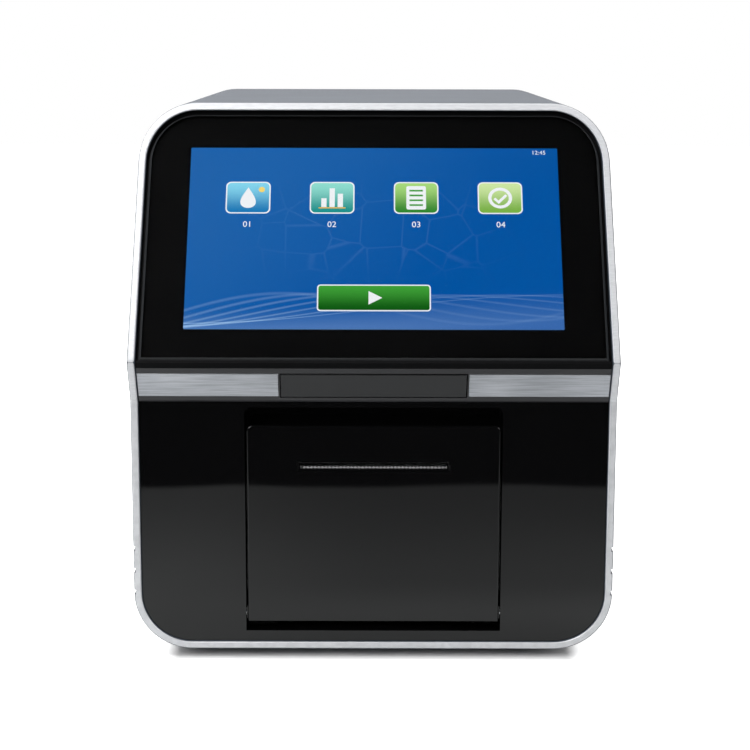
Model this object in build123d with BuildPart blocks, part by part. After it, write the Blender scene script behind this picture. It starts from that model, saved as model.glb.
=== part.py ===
from build123d import *

import os
from math import acos, atan2, cos, hypot, pi, radians, sin, sqrt, tan

# Bench-top biochemistry analyzer with a touch screen, a disc tray and a built-in label printer.
#
# Millimetres. The origin is the centre of the footprint on the bench, +Z is up, and the
# screen faces -Y, so +X is on the right of someone who looks at it. A setback is a distance
# behind the nose, the foremost edge, where the screen meets the facet with the tray door.

os.makedirs("parts", exist_ok=True)

# Overall size
width = 198.0
depth = 312.4
height = 227.5
foot_height = 3.6
wall = 3.2
corner_radius = 24.0

# Side view of the front edge: the screen leans back above the nose, a short
# facet with the tray door turns back under it, and the chin runs down to the bench
nose_height = 126.3
lean_angle = 34.5
knee_height = 109.1
knee_setback = 10.38
chin_angle = 2.0
nose_radius = 2.4
front_bevel = 0.6

# Clearances shared by many pieces
fit_gap = 0.3
seam = 0.2
running_gap = 0.3
bore_gap = 0.1

# Moulded front panels
shell = 2.5
flange_depth = 16.0
flange_wall = 2.0
trim_recess = 0.5
fascia_recess = 1.0

# Touch glass, picture panel and what holds them
glass_recess = 0.3
glass_thickness = 2.0
glass_margin = 1.4
glass_bottom = 1.5
glass_bevel = 1.0
tape_thickness = 0.3
tape_inset = 0.8
picture_side_margin = 18.75
picture_top_margin = 16.0
picture_low = 15.8
panel_border_side = 5.4
panel_border_end = 7.0
panel_thickness = 5.8
panel_gap = 0.2
panel_side_gap = 0.5
bracket_thickness = 1.2
bracket_side_margin = 5.0
bracket_end_margin = 6.95
boss_radius = 3.5
boss_inset = 4.0
boss_end_inset = 7.0
display_board_width = 120.0
display_board_end_margin = 11.0
display_standoff = 3.0
display_chip_height = 3.2
display_chips = [(-30.0, 0.0, 14.0, 14.0), (6.0, 8.0, 12.0, 9.0), (36.0, -12.0, 24.0, 8.0)]
display_coil = (36.0, 14.0)
coil_radius = 4.0

# Facet with the two metal strips and the tray door
lip_length = 3.1
strip_top = 6.0
strip_height = 12.05
strip_thickness = 1.2
strip_proud = 0.2
strip_bevel = 0.25
strip_web = 0.5
trim_thickness = 3.5
trim_flange = 7.5
fascia_drop = 0.6

# Disc tray, its rails and its rack and pinion
tray_door_width = 75.2
tray_door_gap = 0.35
tray_door_shift = 0.2
tray_door_depth = 14.0
tray_door_edge = 0.4
tray_step = 0.5
tray_height = 8.4
tray_floor = 1.8
tongue_height = 2.8
tongue_half = 37.2
body_half = 34.75
disc_radius = 32.0
disc_setback = 71.0
disc_rim = 6.0
tray_travel = 107.0
hub_slot_half = 9.5
rack_rib = 3.5
rack_back = 1.5
rack_low = 4.8
rail_wall = 2.5
rail_base = 3.0
rail_lip = 1.3
rail_foot = 7.0
deck_thickness = 3.0
deck_start = 29.0
deck_length = 162.0
deck_border = 8.0
rack_module = 1.0
pinion_teeth = 14
pinion_setback = 63.0
backlash = 0.12
tray_motor_radius = 10.0
tray_motor_height = 17.0
tray_shaft_radius = 1.5

# Spindle that lifts and spins the disc
spindle_travel = 4.0
spindle_motor_radius = 17.0
spindle_motor_height = 17.0
spindle_hub_radius = 8.0
spindle_hub_height = 4.6
spindle_shaft_radius = 2.5
carriage_thickness = 3.0
carriage_half = 26.0
guide_radius = 2.0
guide_spread = 21.5
guide_length = 25.0
lift_setback = 99.0
lift_motor_radius = 8.5
lift_motor_height = 12.0
lift_rod_radius = 2.0

# Optics above and below the disc, and the cover that carries the disc clamp
optic_side = 24.0
optic_setback = 89.0
optic_half = 6.0
lid_half = 45.0
lid_start = 35.0
lid_length = 76.0
lid_skirt = 3.6
lid_thickness = 2.5
lid_leg_radius = 3.5
clamp_radius = 9.0
clamp_shaft_radius = 3.0
lamp_half = 11.0
lamp_height = 18.0
scanner_height = 13.0

# Printer bay and its door, measured down the chin from the knee
bay_top = 2.95
bay_height = 94.95
bay_half = 52.75
bay_corner = 3.0
bay_wall = 2.0
bay_depth = 12.0
bay_window = 83.0
bay_window_gap = 7.0
door_gap = 0.75
door_top = 10.6
door_height = 83.5
door_corner = 2.3
door_edge_radius = 0.8
door_rib = 1.5
door_rib_depth = 2.5
door_pivot_rise = 3.0
door_pivot_setback = 5.0
door_pin_radius = 1.5
knuckle_radius = 3.5
knuckle_width = 7.5
slot_drop = 27.8
slot_frame_half = 31.5
slot_frame_height = 4.6
slot_frame_depth = 1.0
slot_half = 30.0
slot_height = 2.0
tear_pitch = 1.5
tear_tooth = 0.9
tear_height = 5.0
tear_thickness = 0.5
catch_half = 44.0
catch_drop = 18.5
catch_radius = 4.0
magnet_radius = 3.0
magnet_height = 2.0

# Printer mechanism and paper
paper_width = 57.0
paper_radius = 20.0
paper_core_radius = 6.0
paper_core_wall = 1.2
paper_clearance = 0.5
cradle_start = 22.5
cradle_low = 14.0
cradle_top = 62.0
cradle_lip = 32.0
cheek = 2.0
cheek_clearance = 2.5
cheek_length = 29.0
platen_radius = 4.5
platen_shaft_radius = 2.0
platen_setback = 27.0
head_height = 4.0
head_depth = 14.0
printer_module = 0.5
platen_teeth = 18
idler_teeth = 24
drive_teeth = 10
idler_angle = -60.0
idler_stud_radius = 1.5
printer_gear_width = 2.5
printer_shaft_radius = 1.0
printer_motor_radius = 7.5
printer_motor_length = 22.0

# Base, rear panel and electrics
base_thickness = 1.5
base_start = 33.0
base_end = 8.0
foot_radius = 8.0
base_side_margin = 22.0
foot_side_inset = 12.0
foot_inset = 41.0
column_radius = 4.5
column_side_inset = 6.0
rear_recess = 4.0
rear_thickness = 1.2
block_size = 12.0
block_low = 34.0
block_drop = 37.5
fan_size = 80.0
fan_depth = 25.0
fan_drop = 59.5
fan_bore = 38.0
fan_hole_half = 35.75
rotor_hub_radius = 16.0
rotor_radius = 36.5
rotor_blades = 7
blade_sweep = 0.7
guard_thickness = 1.6
guard_wire = 1.4
guard_rings = 5
inlet_side_inset = 38.0
inlet_height = 26.0
inlet_size = (27.4, 20.4)
inlet_wall = 1.6
inlet_depth = 22.0
pin_length = 14.0
pin_size = (2.0, 4.0)
pin_pitch = 7.0
pin_drop = 1.0
earth_pin_rise = 3.0
switch_height = 49.0
switch_size = (13.2, 19.4)
rocker_tilt = 8.0
rocker_length = 17.0
rocker_width = 10.4
rocker_rise = 3.2
rocker_axle_radius = 1.2
rocker_setback = 1.5
socket_side = -24.0
network_size = (16.0, 13.4)
network_length = 21.0
network_mouth = (11.8, 7.0)
network_latch = (6.0, 4.0)
network_mouth_depth = 13.0
usb_size = (14.6, 15.6)
usb_length = 17.0
usb_slot = (12.5, 5.1)
usb_tongue = (11.0, 1.6)
usb_pitch = 7.6
usb_mouth = 12.0
usb_recess = 1.0
supply_depth = 98.0
supply_height = 38.0
supply_inlet_gap = 0.3
supply_screw_gap = 2.0
supply_gap = 4.0
slot_length = 18.0
slot_width = 3.0
supply_slots = (10, 3)
supply_slot_pitch = (8.0, 24.0)
panel_slot_count = 8
panel_slot_pitch = 7.0
shelf_lift = 58.0
shelf_side_inset = 2.0
shelf_depth = 70.0
board_width = 130.0
board_depth = 96.0
board_standoff = 6.0
board_thickness = 1.6
standoff_inset = 5.0
chip_height = 6.0
board_chips = [(10.0, 0.0, 22.0, 22.0), (38.0, 12.0, 12.0, 18.0), (38.0, -12.0, 12.0, 18.0)]
board_headers = [(-30.0, -30.0, 20.0, 6.0), (0.0, -38.0, 20.0, 6.0), (30.0, -38.0, 20.0, 6.0)]
board_cans = [(-50.0, 0.0), (-50.0, 14.0), (-38.0, 0.0)]
can_radius = 4.0

# Fasteners
screw_radius = 1.5
fan_screw_radius = 1.9

# Side grooves with air slots in them
groove_count = 3
groove_low = 27.95
groove_pitch = 9.35
groove_height = 2.0
groove_depth = 0.8
vent_count = 8
vent_length = 15.0
vent_height = 1.2
vent_pitch = 20.0

# Values worked out from the ones above
sleeve_height = height - foot_height
mid_height = (height + foot_height) / 2
inner_half = width / 2 - wall
inner_low = foot_height + wall
lean = radians(lean_angle)
chin = radians(chin_angle)
facet = atan2(knee_setback, nose_height - knee_height)
nose_trim = nose_radius * (cos((lean - facet) / 2) / cos((lean + facet) / 2) - 1)
nose_y = -depth / 2 - nose_trim
back_y = depth / 2
knee_y = nose_y + knee_setback
facet_length = hypot(knee_setback, nose_height - knee_height)
slope_length = (height - nose_height) / cos(lean) + 2 * wall
chin_length = knee_height / cos(chin) + 2 * wall
glass_top = (height - wall - glass_margin - nose_height) / cos(lean)
picture_width = 2 * (inner_half - picture_side_margin)
picture_height = glass_top - picture_top_margin - picture_low
base_half = inner_half - base_side_margin
foot_half = base_half - foot_side_inset
screw_hole = screw_radius + bore_gap

back_plane = Plane.XZ.offset(-back_y)
display_plane = Plane((0, nose_y, nose_height), x_dir=(1, 0, 0), z_dir=(0, -cos(lean), sin(lean)))
facet_plane = Plane((0, nose_y, nose_height), x_dir=(1, 0, 0), z_dir=(0, -cos(facet), -sin(facet)))
chin_plane = Plane((0, knee_y, knee_height), x_dir=(1, 0, 0), z_dir=(0, -cos(chin), -sin(chin)))


def on_plane(plane, up, inset):
    """Side-view point (y, z) at a distance up a front plane and behind it."""
    point = plane.from_local_coords((0, up, -inset))
    return (point.Y, point.Z)


def meet(first, first_inset, second, second_inset):
    """Side-view point where two front planes cross, each moved inwards by its inset."""
    a, b = first.z_dir, second.z_dir
    p = a.dot(first.origin) - first_inset
    q = b.dot(second.origin) - second_inset
    spread = a.Y * b.Z - a.Z * b.Y
    return ((p * b.Z - q * a.Z) / spread, (a.Y * q - b.Y * p) / spread)


def facing_back(y):
    """Upright plane at a given y; its sketches extrude towards the screen."""
    return Plane.XZ.offset(-y)


def sleeve_outline(inset, plane=back_plane):
    """The sleeve's rounded cross-section, moved inwards."""
    with BuildSketch(plane) as outline:
        with Locations((0, mid_height)):
            RectangleRounded(width - 2 * inset, sleeve_height - 2 * inset, corner_radius - inset)
    return outline.sketch


def side_face(*points):
    """A side-view outline on the YZ plane through the given (y, z) points."""
    with BuildSketch(Plane.YZ) as face:
        with BuildLine():
            Polyline(*points, close=True)
        make_face()
    return face.sketch


def block_between(low, high):
    """Arguments for a box between two corners: its size and its centre."""
    size = [b - a for a, b in zip(low, high)]
    centre = tuple((a + b) / 2 for a, b in zip(low, high))
    return size, centre


def glass_outline(inset, plane):
    """The touch glass's outline: square below, and round above to follow the sleeve."""
    half = inner_half - glass_margin - inset
    low = glass_bottom + inset
    radius = corner_radius - wall - glass_margin - inset
    rise = radius / cos(lean)
    top = (height - wall - glass_margin - inset - nose_height) / cos(lean)
    with BuildSketch(plane) as outline:
        with BuildLine():
            Line((-half, low), (half, low))
            Line((half, low), (half, top - rise))
            EllipticalCenterArc((half - radius, top - rise), radius, rise, start_angle=0, arc_size=90)
            Line((half - radius, top), (radius - half, top))
            EllipticalCenterArc((radius - half, top - rise), radius, rise, start_angle=90, arc_size=90)
            Line((-half, top - rise), (-half, low))
        make_face()
    return outline.sketch


def gear_outline(plane, centre, module, teeth, bore, turn, thin):
    """A spur gear's outline with involute flanks; a tooth points along turn, in degrees."""
    pitch = module * teeth / 2
    base = pitch * cos(radians(20))
    outer, root = pitch + module, pitch - 1.25 * module
    half_tooth = (pi * module / 2 - thin) / 2 / pitch
    rolled = sqrt((pitch / base) ** 2 - 1)
    flank_lean = rolled - acos(base / pitch)
    points = []
    for tooth in range(teeth):
        middle = radians(turn) + 2 * pi * tooth / teeth
        flank = []
        for share in (0, 0.35, 0.7, 1):
            radius = max(base, root) + share * (outer - max(base, root))
            roll = sqrt((radius / base) ** 2 - 1)
            swing = half_tooth + flank_lean - (roll - acos(base / radius))
            flank.append((radius, swing))
        if root < base:
            flank.insert(0, (root, flank[0][1]))
        points += [(r, middle - s) for r, s in flank]
        points += [(r, middle + s) for r, s in reversed(flank)]
    with BuildSketch(plane) as outline:
        with BuildLine():
            Polyline(*[(centre[0] + r * cos(a), centre[1] + r * sin(a)) for r, a in points], close=True)
        make_face()
        with Locations(centre):
            Circle(bore, mode=Mode.SUBTRACT)
    return outline.sketch


def screw_set(plane, spots, shank_radius, shank_length):
    """Pan-head screws with a cross recess: heads outside the plane, shanks inside it."""
    head_height = 1.1 * shank_radius
    with BuildPart() as screws:
        with BuildSketch(plane):
            with Locations(*spots):
                Circle(1.9 * shank_radius)
        extrude(amount=head_height)
        tops = screws.faces().sort_by(Axis(plane.origin, plane.z_dir))[-len(spots):]
        fillet(tops.edges(), 0.4 * head_height)
        with BuildSketch(plane.offset(head_height)):
            with Locations(*spots):
                Rectangle(1.8 * shank_radius, 0.4 * shank_radius)
                Rectangle(0.4 * shank_radius, 1.8 * shank_radius)
        extrude(amount=-0.6 * head_height, mode=Mode.SUBTRACT)
        with BuildSketch(plane):
            with Locations(*spots):
                Circle(shank_radius)
        extrude(amount=-shank_length)
    return screws


def save(piece, label):
    """Names a finished piece and writes it as its own file."""
    piece.part.label = label
    export_step(piece.part, f"parts/{label}.step")


# Outer sleeve: one wrap of aluminium with its front edge cut to the side view
foot_spots = [(x, y) for x in (-foot_half, foot_half) for y in (nose_y + foot_inset, back_y - foot_inset)]

with BuildPart() as housing_sleeve:
    extrude(sleeve_outline(0), amount=back_y - nose_y)
    extrude(sleeve_outline(wall), amount=back_y - nose_y, mode=Mode.SUBTRACT)
    with BuildSketch(Plane.YZ) as side_view:
        with BuildLine():
            Polyline(
                on_plane(display_plane, slope_length, 0),
                (nose_y, nose_height),
                (knee_y, knee_height),
                on_plane(chin_plane, -chin_length, 0),
                (back_y, -wall),
                (back_y, height + wall),
                close=True,
            )
        make_face()
        fillet(side_view.vertices().sort_by(Axis.X)[0], nose_radius)
    extrude(amount=width, both=True, mode=Mode.INTERSECT)
    inner_edges = housing_sleeve.edges().filter_by(
        lambda edge: (edge @ 0.5).Y < back_y - 1
        and abs(edge.tangent_at(0.5).Y) < 0.9
        and abs((edge @ 0.5).X) < inner_half + 0.1
        and abs((edge @ 0.5).Z - mid_height) < sleeve_height / 2 - wall + 0.1
    )
    chamfer(inner_edges, front_bevel)
    with BuildSketch(back_plane):
        for side in (-1, 1):
            for row in range(groove_count):
                with Locations((side * width / 2, groove_low + row * groove_pitch)):
                    Rectangle(2 * groove_depth, groove_height)
    extrude(amount=back_y - nose_y, mode=Mode.SUBTRACT)
    with BuildSketch(Plane.YZ):
        with Locations((0, groove_low + (groove_count - 1) * groove_pitch / 2)):
            with GridLocations(vent_pitch, groove_pitch, vent_count, groove_count):
                SlotOverall(vent_length, vent_height)
    extrude(amount=width, both=True, mode=Mode.SUBTRACT)
    with BuildSketch(Plane.XY.offset(foot_height)):
        with Locations(*foot_spots):
            Circle(screw_hole)
    extrude(amount=wall, mode=Mode.SUBTRACT)
save(housing_sleeve, "housing_sleeve")

# Display bezel: black moulding behind the glass that wraps round the nose as a thin lip
bezel_inset = glass_recess + glass_thickness + tape_thickness
panel_inset = glass_recess + glass_thickness + panel_gap
panel_width = picture_width + 2 * panel_border_side
panel_height = picture_height + 2 * panel_border_end
panel_middle = picture_low + picture_height / 2
bracket_inset = panel_inset + panel_thickness + panel_gap
bracket_half = inner_half - bracket_side_margin
bracket_height = panel_height - 2 * bracket_end_margin
boss_half = bracket_half - boss_inset
boss_rise = bracket_height / 2 - boss_end_inset
boss_spots = [(x, panel_middle + y) for x in (-boss_half, boss_half) for y in (-boss_rise, boss_rise)]
display_board_height = bracket_height - 2 * display_board_end_margin

with BuildPart() as bezel_hollow:
    extrude(sleeve_outline(wall + fit_gap + flange_wall), amount=back_y - nose_y)
    hollow_side = side_face(
        on_plane(display_plane, slope_length, bezel_inset + shell),
        on_plane(display_plane, -flange_depth, bezel_inset + shell),
        on_plane(display_plane, -flange_depth, 3 * flange_depth),
        on_plane(display_plane, slope_length, 3 * flange_depth),
    )
    extrude(hollow_side, amount=width, both=True, mode=Mode.INTERSECT)

with BuildPart() as display_bezel:
    extrude(sleeve_outline(wall + fit_gap), amount=back_y - nose_y)
    bezel_side = side_face(
        on_plane(display_plane, slope_length, bezel_inset),
        on_plane(display_plane, glass_bottom - seam, bezel_inset),
        on_plane(display_plane, glass_bottom - seam, trim_recess),
        meet(display_plane, trim_recess, facet_plane, trim_recess),
        on_plane(facet_plane, -lip_length, trim_recess),
        on_plane(facet_plane, -lip_length, trim_flange),
        on_plane(display_plane, flange_depth, bezel_inset + flange_depth),
        on_plane(display_plane, slope_length, bezel_inset + flange_depth),
    )
    extrude(bezel_side, amount=width, both=True, mode=Mode.INTERSECT)
    add(bezel_hollow.part, mode=Mode.SUBTRACT)
    with BuildSketch(display_plane.offset(-bezel_inset - shell)):
        with Locations(*boss_spots):
            Circle(boss_radius)
            Circle(screw_radius, mode=Mode.SUBTRACT)
    extrude(amount=bezel_inset + shell - bracket_inset)
    with BuildSketch(display_plane):
        with Locations((0, panel_middle)):
            Rectangle(panel_width + 2 * panel_side_gap, panel_height + 2 * panel_side_gap)
    extrude(amount=-bezel_inset - shell, mode=Mode.SUBTRACT)
save(display_bezel, "display_bezel")

# Touch glass and the tape that bonds it to the bezel
with BuildPart() as touch_glass:
    extrude(glass_outline(0, display_plane.offset(-glass_recess)), amount=-glass_thickness)
    chamfer(touch_glass.faces().sort_by(Axis((0, 0, 0), display_plane.z_dir))[-1].edges(), glass_bevel)
save(touch_glass, "touch_glass")

with BuildPart() as glass_gasket:
    tape_plane = display_plane.offset(-glass_recess - glass_thickness)
    extrude(glass_outline(tape_inset, tape_plane), amount=-tape_thickness)
    with BuildSketch(display_plane):
        with Locations((0, panel_middle)):
            Rectangle(panel_width + 2 * panel_side_gap, panel_height + 2 * panel_side_gap)
    extrude(amount=-bezel_inset - shell, mode=Mode.SUBTRACT)
save(glass_gasket, "glass_gasket")

# Picture panel: a thin glass front in a folded steel tray
with BuildPart() as lcd_module:
    with BuildSketch(display_plane.offset(-panel_inset)):
        with Locations((0, panel_middle)):
            Rectangle(panel_width, panel_height)
    extrude(amount=-panel_thickness)
    chamfer(lcd_module.faces().sort_by(Axis((0, 0, 0), display_plane.z_dir))[0].edges(), 3 * seam)
save(lcd_module, "lcd_module")

# Steel bracket behind the panel, screwed to the bezel, with standoffs for the display board
with BuildPart() as display_bracket:
    with BuildSketch(display_plane.offset(-bracket_inset)):
        with Locations((0, panel_middle)):
            RectangleRounded(2 * bracket_half, bracket_height, boss_radius)
            with GridLocations(display_board_width / 2, 0, 2, 1):
                window = (display_board_width / 3, display_board_height / 2)
                RectangleRounded(*window, boss_radius, mode=Mode.SUBTRACT)
        with Locations(*boss_spots):
            Circle(screw_hole, mode=Mode.SUBTRACT)
    extrude(amount=-bracket_thickness)
    with BuildSketch(display_plane.offset(-bracket_inset - bracket_thickness)):
        with Locations((0, panel_middle)):
            spread_x = display_board_width - 2 * boss_radius
            spread_y = display_board_height - 2 * boss_radius
            with GridLocations(spread_x, spread_y, 2, 2):
                Circle(boss_radius)
    extrude(amount=-display_standoff)
save(display_bracket, "display_bracket")

bracket_back = display_plane.offset(-bracket_inset - bracket_thickness)
flipped_back = Plane(bracket_back.origin, x_dir=(1, 0, 0), z_dir=-bracket_back.z_dir)
bracket_screw_length = bracket_inset + bracket_thickness - bezel_inset - shell - screw_radius / 2
bracket_screw_spots = [(x, -y) for x, y in boss_spots]
bracket_screws = screw_set(flipped_back, bracket_screw_spots, screw_radius - bore_gap, bracket_screw_length)

with BuildPart() as display_board:
    with BuildSketch(bracket_back.offset(-display_standoff)):
        with Locations((0, panel_middle)):
            RectangleRounded(display_board_width, display_board_height, boss_radius / 2)
    extrude(amount=-board_thickness)
    with BuildSketch(bracket_back.offset(-display_standoff - board_thickness)):
        for x, y, chip_width, chip_length in display_chips:
            with Locations((x, panel_middle + y)):
                Rectangle(chip_width, chip_length)
        with Locations((display_coil[0], panel_middle + display_coil[1])):
            Circle(coil_radius)
    extrude(amount=-display_chip_height)
save(display_board, "display_board")

# Mid trim: dark moulding on the facet, with seats for the metal strips and the tray's mouth
tray_door_inset = trim_recess - strip_proud
tray_door_high = on_plane(facet_plane, -strip_top - tray_door_shift, tray_door_inset)[1]
tray_door_low = on_plane(facet_plane, -strip_top - strip_height - tray_door_shift, tray_door_inset)[1]
mouth_half = tray_door_width / 2 + tray_door_gap
strip_start = mouth_half + strip_web
strip_end = inner_half - fit_gap
strip_middle = -strip_top - strip_height / 2
strip_seat = trim_recess + strip_thickness - strip_proud
trim_base = seam - fascia_drop

with BuildPart() as trim_hollow:
    hollow_side = side_face(
        on_plane(facet_plane, -lip_length - seam - flange_wall, trim_thickness),
        on_plane(facet_plane, -facet_length, trim_thickness),
        on_plane(chin_plane, trim_base + flange_wall, 2 * flange_depth),
        on_plane(facet_plane, -lip_length - seam - flange_wall, 2 * flange_depth),
    )
    extrude(hollow_side, amount=inner_half - fit_gap - flange_wall, both=True)

with BuildPart() as mid_trim:
    extrude(sleeve_outline(wall + fit_gap), amount=back_y - nose_y)
    trim_side = side_face(
        on_plane(facet_plane, -lip_length - seam, trim_recess),
        meet(facet_plane, trim_recess, chin_plane, trim_recess),
        on_plane(chin_plane, trim_base, trim_recess),
        on_plane(chin_plane, trim_base, trim_recess + flange_depth),
        on_plane(facet_plane, -lip_length - seam, trim_flange),
    )
    extrude(trim_side, amount=width, both=True, mode=Mode.INTERSECT)
    add(trim_hollow.part, mode=Mode.SUBTRACT)
    with BuildSketch(facet_plane.offset(-strip_seat)):
        for side in (-1, 1):
            with Locations((side * (strip_start + strip_end + wall) / 2, strip_middle)):
                Rectangle(strip_end + wall - strip_start, strip_height)
    extrude(amount=strip_seat, mode=Mode.SUBTRACT)
    mouth_size, mouth_centre = block_between(
        (-mouth_half, nose_y - 1, tray_door_low - tray_door_gap),
        (mouth_half, nose_y + 2 * flange_depth, tray_door_high + tray_door_gap),
    )
    with Locations(mouth_centre):
        Box(*mouth_size, mode=Mode.SUBTRACT)
save(mid_trim, "mid_trim")

# Brushed metal strips, one each side of the tray door
with BuildPart() as brushed_strips:
    with BuildSketch(facet_plane.offset(-strip_seat)):
        for side in (-1, 1):
            with Locations((side * (strip_start + strip_end) / 2, strip_middle)):
                Rectangle(strip_end - strip_start, strip_height)
    extrude(amount=strip_thickness)
    chamfer(brushed_strips.faces().sort_by(Axis((0, 0, 0), facet_plane.z_dir))[-2:].edges(), strip_bevel)
save(brushed_strips, "brushed_strips")

# Lower fascia: black front panel on the chin with the printer bay sunk into it
bay_base = bay_top + bay_height
door_base = door_top + door_height
pivot_up = door_pivot_rise - door_base
pivot_inset = fascia_recess + door_pivot_setback
pivot = on_plane(chin_plane, pivot_up, pivot_inset)
cradle_half = paper_width / 2 + cheek_clearance + cheek
bay_back = fascia_recess + bay_depth
catch_post_end = fascia_recess + shell + magnet_height + fit_gap + bay_wall / 2


def bay_outline(grow, plane):
    """The printer bay's outline, rounded at its two top corners."""
    with BuildSketch(plane) as outline:
        with Locations((0, -bay_top - bay_height / 2)):
            Rectangle(2 * (bay_half + grow), bay_height + 2 * grow)
        fillet(outline.vertices().group_by(Axis.Y)[-1], bay_corner + grow)
    return outline.sketch


with BuildPart() as fascia_hollow:
    extrude(sleeve_outline(wall + fit_gap + flange_wall), amount=back_y - nose_y)
    hollow_side = side_face(
        on_plane(chin_plane, -fascia_drop - flange_wall, fascia_recess + shell),
        on_plane(chin_plane, -chin_length, fascia_recess + shell),
        on_plane(chin_plane, -chin_length, 2 * flange_depth),
        on_plane(chin_plane, -fascia_drop - flange_wall, 2 * flange_depth),
    )
    extrude(hollow_side, amount=width, both=True, mode=Mode.INTERSECT)

with BuildPart() as lower_fascia:
    extrude(sleeve_outline(wall + fit_gap), amount=back_y - nose_y)
    fascia_side = side_face(
        on_plane(chin_plane, -fascia_drop, fascia_recess),
        on_plane(chin_plane, -chin_length, fascia_recess),
        on_plane(chin_plane, -chin_length, fascia_recess + flange_depth),
        on_plane(chin_plane, -fascia_drop, fascia_recess + flange_depth),
    )
    extrude(fascia_side, amount=width, both=True, mode=Mode.INTERSECT)
    add(fascia_hollow.part, mode=Mode.SUBTRACT)
    extrude(bay_outline(bay_wall, chin_plane.offset(-fascia_recess)), amount=-bay_depth - bay_wall)
    extrude(bay_outline(0, chin_plane), amount=-bay_back, mode=Mode.SUBTRACT)
    with BuildSketch(chin_plane.offset(-bay_back)):
        for side in (-1, 1):
            with Locations((side * catch_half, -catch_drop)):
                Circle(catch_radius)
    extrude(amount=bay_back - catch_post_end)
    with BuildSketch(chin_plane.offset(-bay_back - bay_wall)):
        with Locations((0, -bay_base)):
            Rectangle(2 * (cradle_half + bay_window_gap), bay_window, align=(Align.CENTER, Align.MIN))
    extrude(amount=bay_wall, mode=Mode.SUBTRACT)
    with BuildSketch(Plane.YZ):
        with Locations(pivot):
            Circle(door_pin_radius + bore_gap)
    extrude(amount=bay_half + 2 * bay_wall, both=True, mode=Mode.SUBTRACT)
save(lower_fascia, "lower_fascia")

# Steel discs on the catch posts, and the magnets in the door that meet them
with BuildPart() as catch_plates:
    with BuildSketch(chin_plane.offset(-catch_post_end)):
        for side in (-1, 1):
            with Locations((side * catch_half, -catch_drop)):
                Circle(catch_radius)
    extrude(amount=bay_wall / 2)
save(catch_plates, "catch_plates")

with BuildPart() as door_magnets:
    with BuildSketch(chin_plane.offset(-fascia_recess - shell)):
        for side in (-1, 1):
            with Locations((side * catch_half, -catch_drop)):
                Circle(magnet_radius)
    extrude(amount=-magnet_height)
save(door_magnets, "door_magnets")

# Printer door: it drops forward on two pins, and paper leaves through its slot
door_half = bay_half - door_gap
knuckle_middle = bay_half - fit_gap - knuckle_width / 2

with BuildPart() as printer_door:
    with BuildSketch(chin_plane.offset(-fascia_recess - shell)) as door_face:
        with Locations((0, -door_top - door_height / 2)):
            Rectangle(2 * door_half, door_height)
        fillet(door_face.vertices().group_by(Axis.Y)[-1], door_corner)
    extrude(amount=shell)
    fillet(printer_door.faces().sort_by(Axis((0, 0, 0), chin_plane.z_dir))[-1].edges(), door_edge_radius)
    with BuildSketch(chin_plane.offset(-fascia_recess - shell)):
        with Locations((0, -door_top - door_height / 2)):
            Rectangle(2 * (door_half - door_rib), door_height - 2 * door_rib)
            Rectangle(2 * (door_half - 2 * door_rib), door_height - 4 * door_rib, mode=Mode.SUBTRACT)
    extrude(amount=-door_rib_depth)
    with BuildSketch(Plane.YZ.offset(knuckle_middle)):
        with Locations(pivot):
            Circle(knuckle_radius)
        with BuildLine():
            Polyline(
                on_plane(chin_plane, pivot_up + knuckle_radius, fascia_recess + shell / 2),
                on_plane(chin_plane, pivot_up + knuckle_radius, pivot_inset),
                on_plane(chin_plane, pivot_up - knuckle_radius, pivot_inset),
                on_plane(chin_plane, pivot_up - door_pivot_rise, fascia_recess + shell),
                on_plane(chin_plane, pivot_up - door_pivot_rise + shell / 2, fascia_recess + shell / 2),
                close=True,
            )
        make_face()
    extrude(amount=knuckle_width / 2, both=True)
    mirror(about=Plane.YZ)
    with BuildSketch(Plane.YZ):
        with Locations(pivot):
            Circle(door_pin_radius + bore_gap)
    extrude(amount=bay_half, both=True, mode=Mode.SUBTRACT)
    with BuildSketch(chin_plane.offset(-fascia_recess)):
        with Locations((0, -slot_drop)):
            Rectangle(2 * slot_frame_half, slot_frame_height)
    extrude(amount=-slot_frame_depth, taper=40, mode=Mode.SUBTRACT)
    with BuildSketch(chin_plane):
        with Locations((0, -slot_drop)):
            Rectangle(2 * slot_half, slot_height)
    extrude(amount=-fascia_recess - 2 * shell, mode=Mode.SUBTRACT)
save(printer_door, "printer_door")

# Saw-toothed bar behind the lower edge of the slot, where the label is torn off
tear_half = slot_half + tear_pitch / 2
tear_count = round(2 * tear_half / tear_pitch)
tear_tip = -slot_drop - seam
tear_root = tear_tip - tear_tooth
teeth_line = [(-tear_half, tear_root)]
for tooth in range(tear_count):
    teeth_line.append((-tear_half + (tooth + 0.5) * tear_pitch, tear_tip))
    teeth_line.append((-tear_half + (tooth + 1) * tear_pitch, tear_root))
teeth_line += [(tear_half, tear_tip - tear_height), (-tear_half, tear_tip - tear_height)]

with BuildPart() as tear_bar:
    with BuildSketch(chin_plane.offset(-fascia_recess - shell)):
        with BuildLine():
            Polyline(*teeth_line, close=True)
        make_face()
    extrude(amount=-tear_thickness)
save(tear_bar, "tear_bar")

with BuildPart() as door_hinge_pins:
    for side in (-1, 1):
        with BuildSketch(Plane.YZ.offset(side * (knuckle_middle - knuckle_width / 2))):
            with Locations(pivot):
                Circle(door_pin_radius)
        extrude(amount=side * (bay_half + bay_wall - knuckle_middle + knuckle_width / 2))
        with BuildSketch(Plane.YZ.offset(side * (bay_half + bay_wall))):
            with Locations(pivot):
                Circle(door_pin_radius + bay_wall / 2)
        extrude(amount=side * bay_wall / 2)
save(door_hinge_pins, "door_hinge_pins")

# Paper trough for the roll, open above and in front, standing on the base
roll_z = cradle_low + cheek + paper_clearance + paper_radius
roll_y = nose_y + cradle_start + cheek + paper_clearance + paper_radius
trough_radius = paper_radius + paper_clearance
base_top = inner_low + base_thickness

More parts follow.
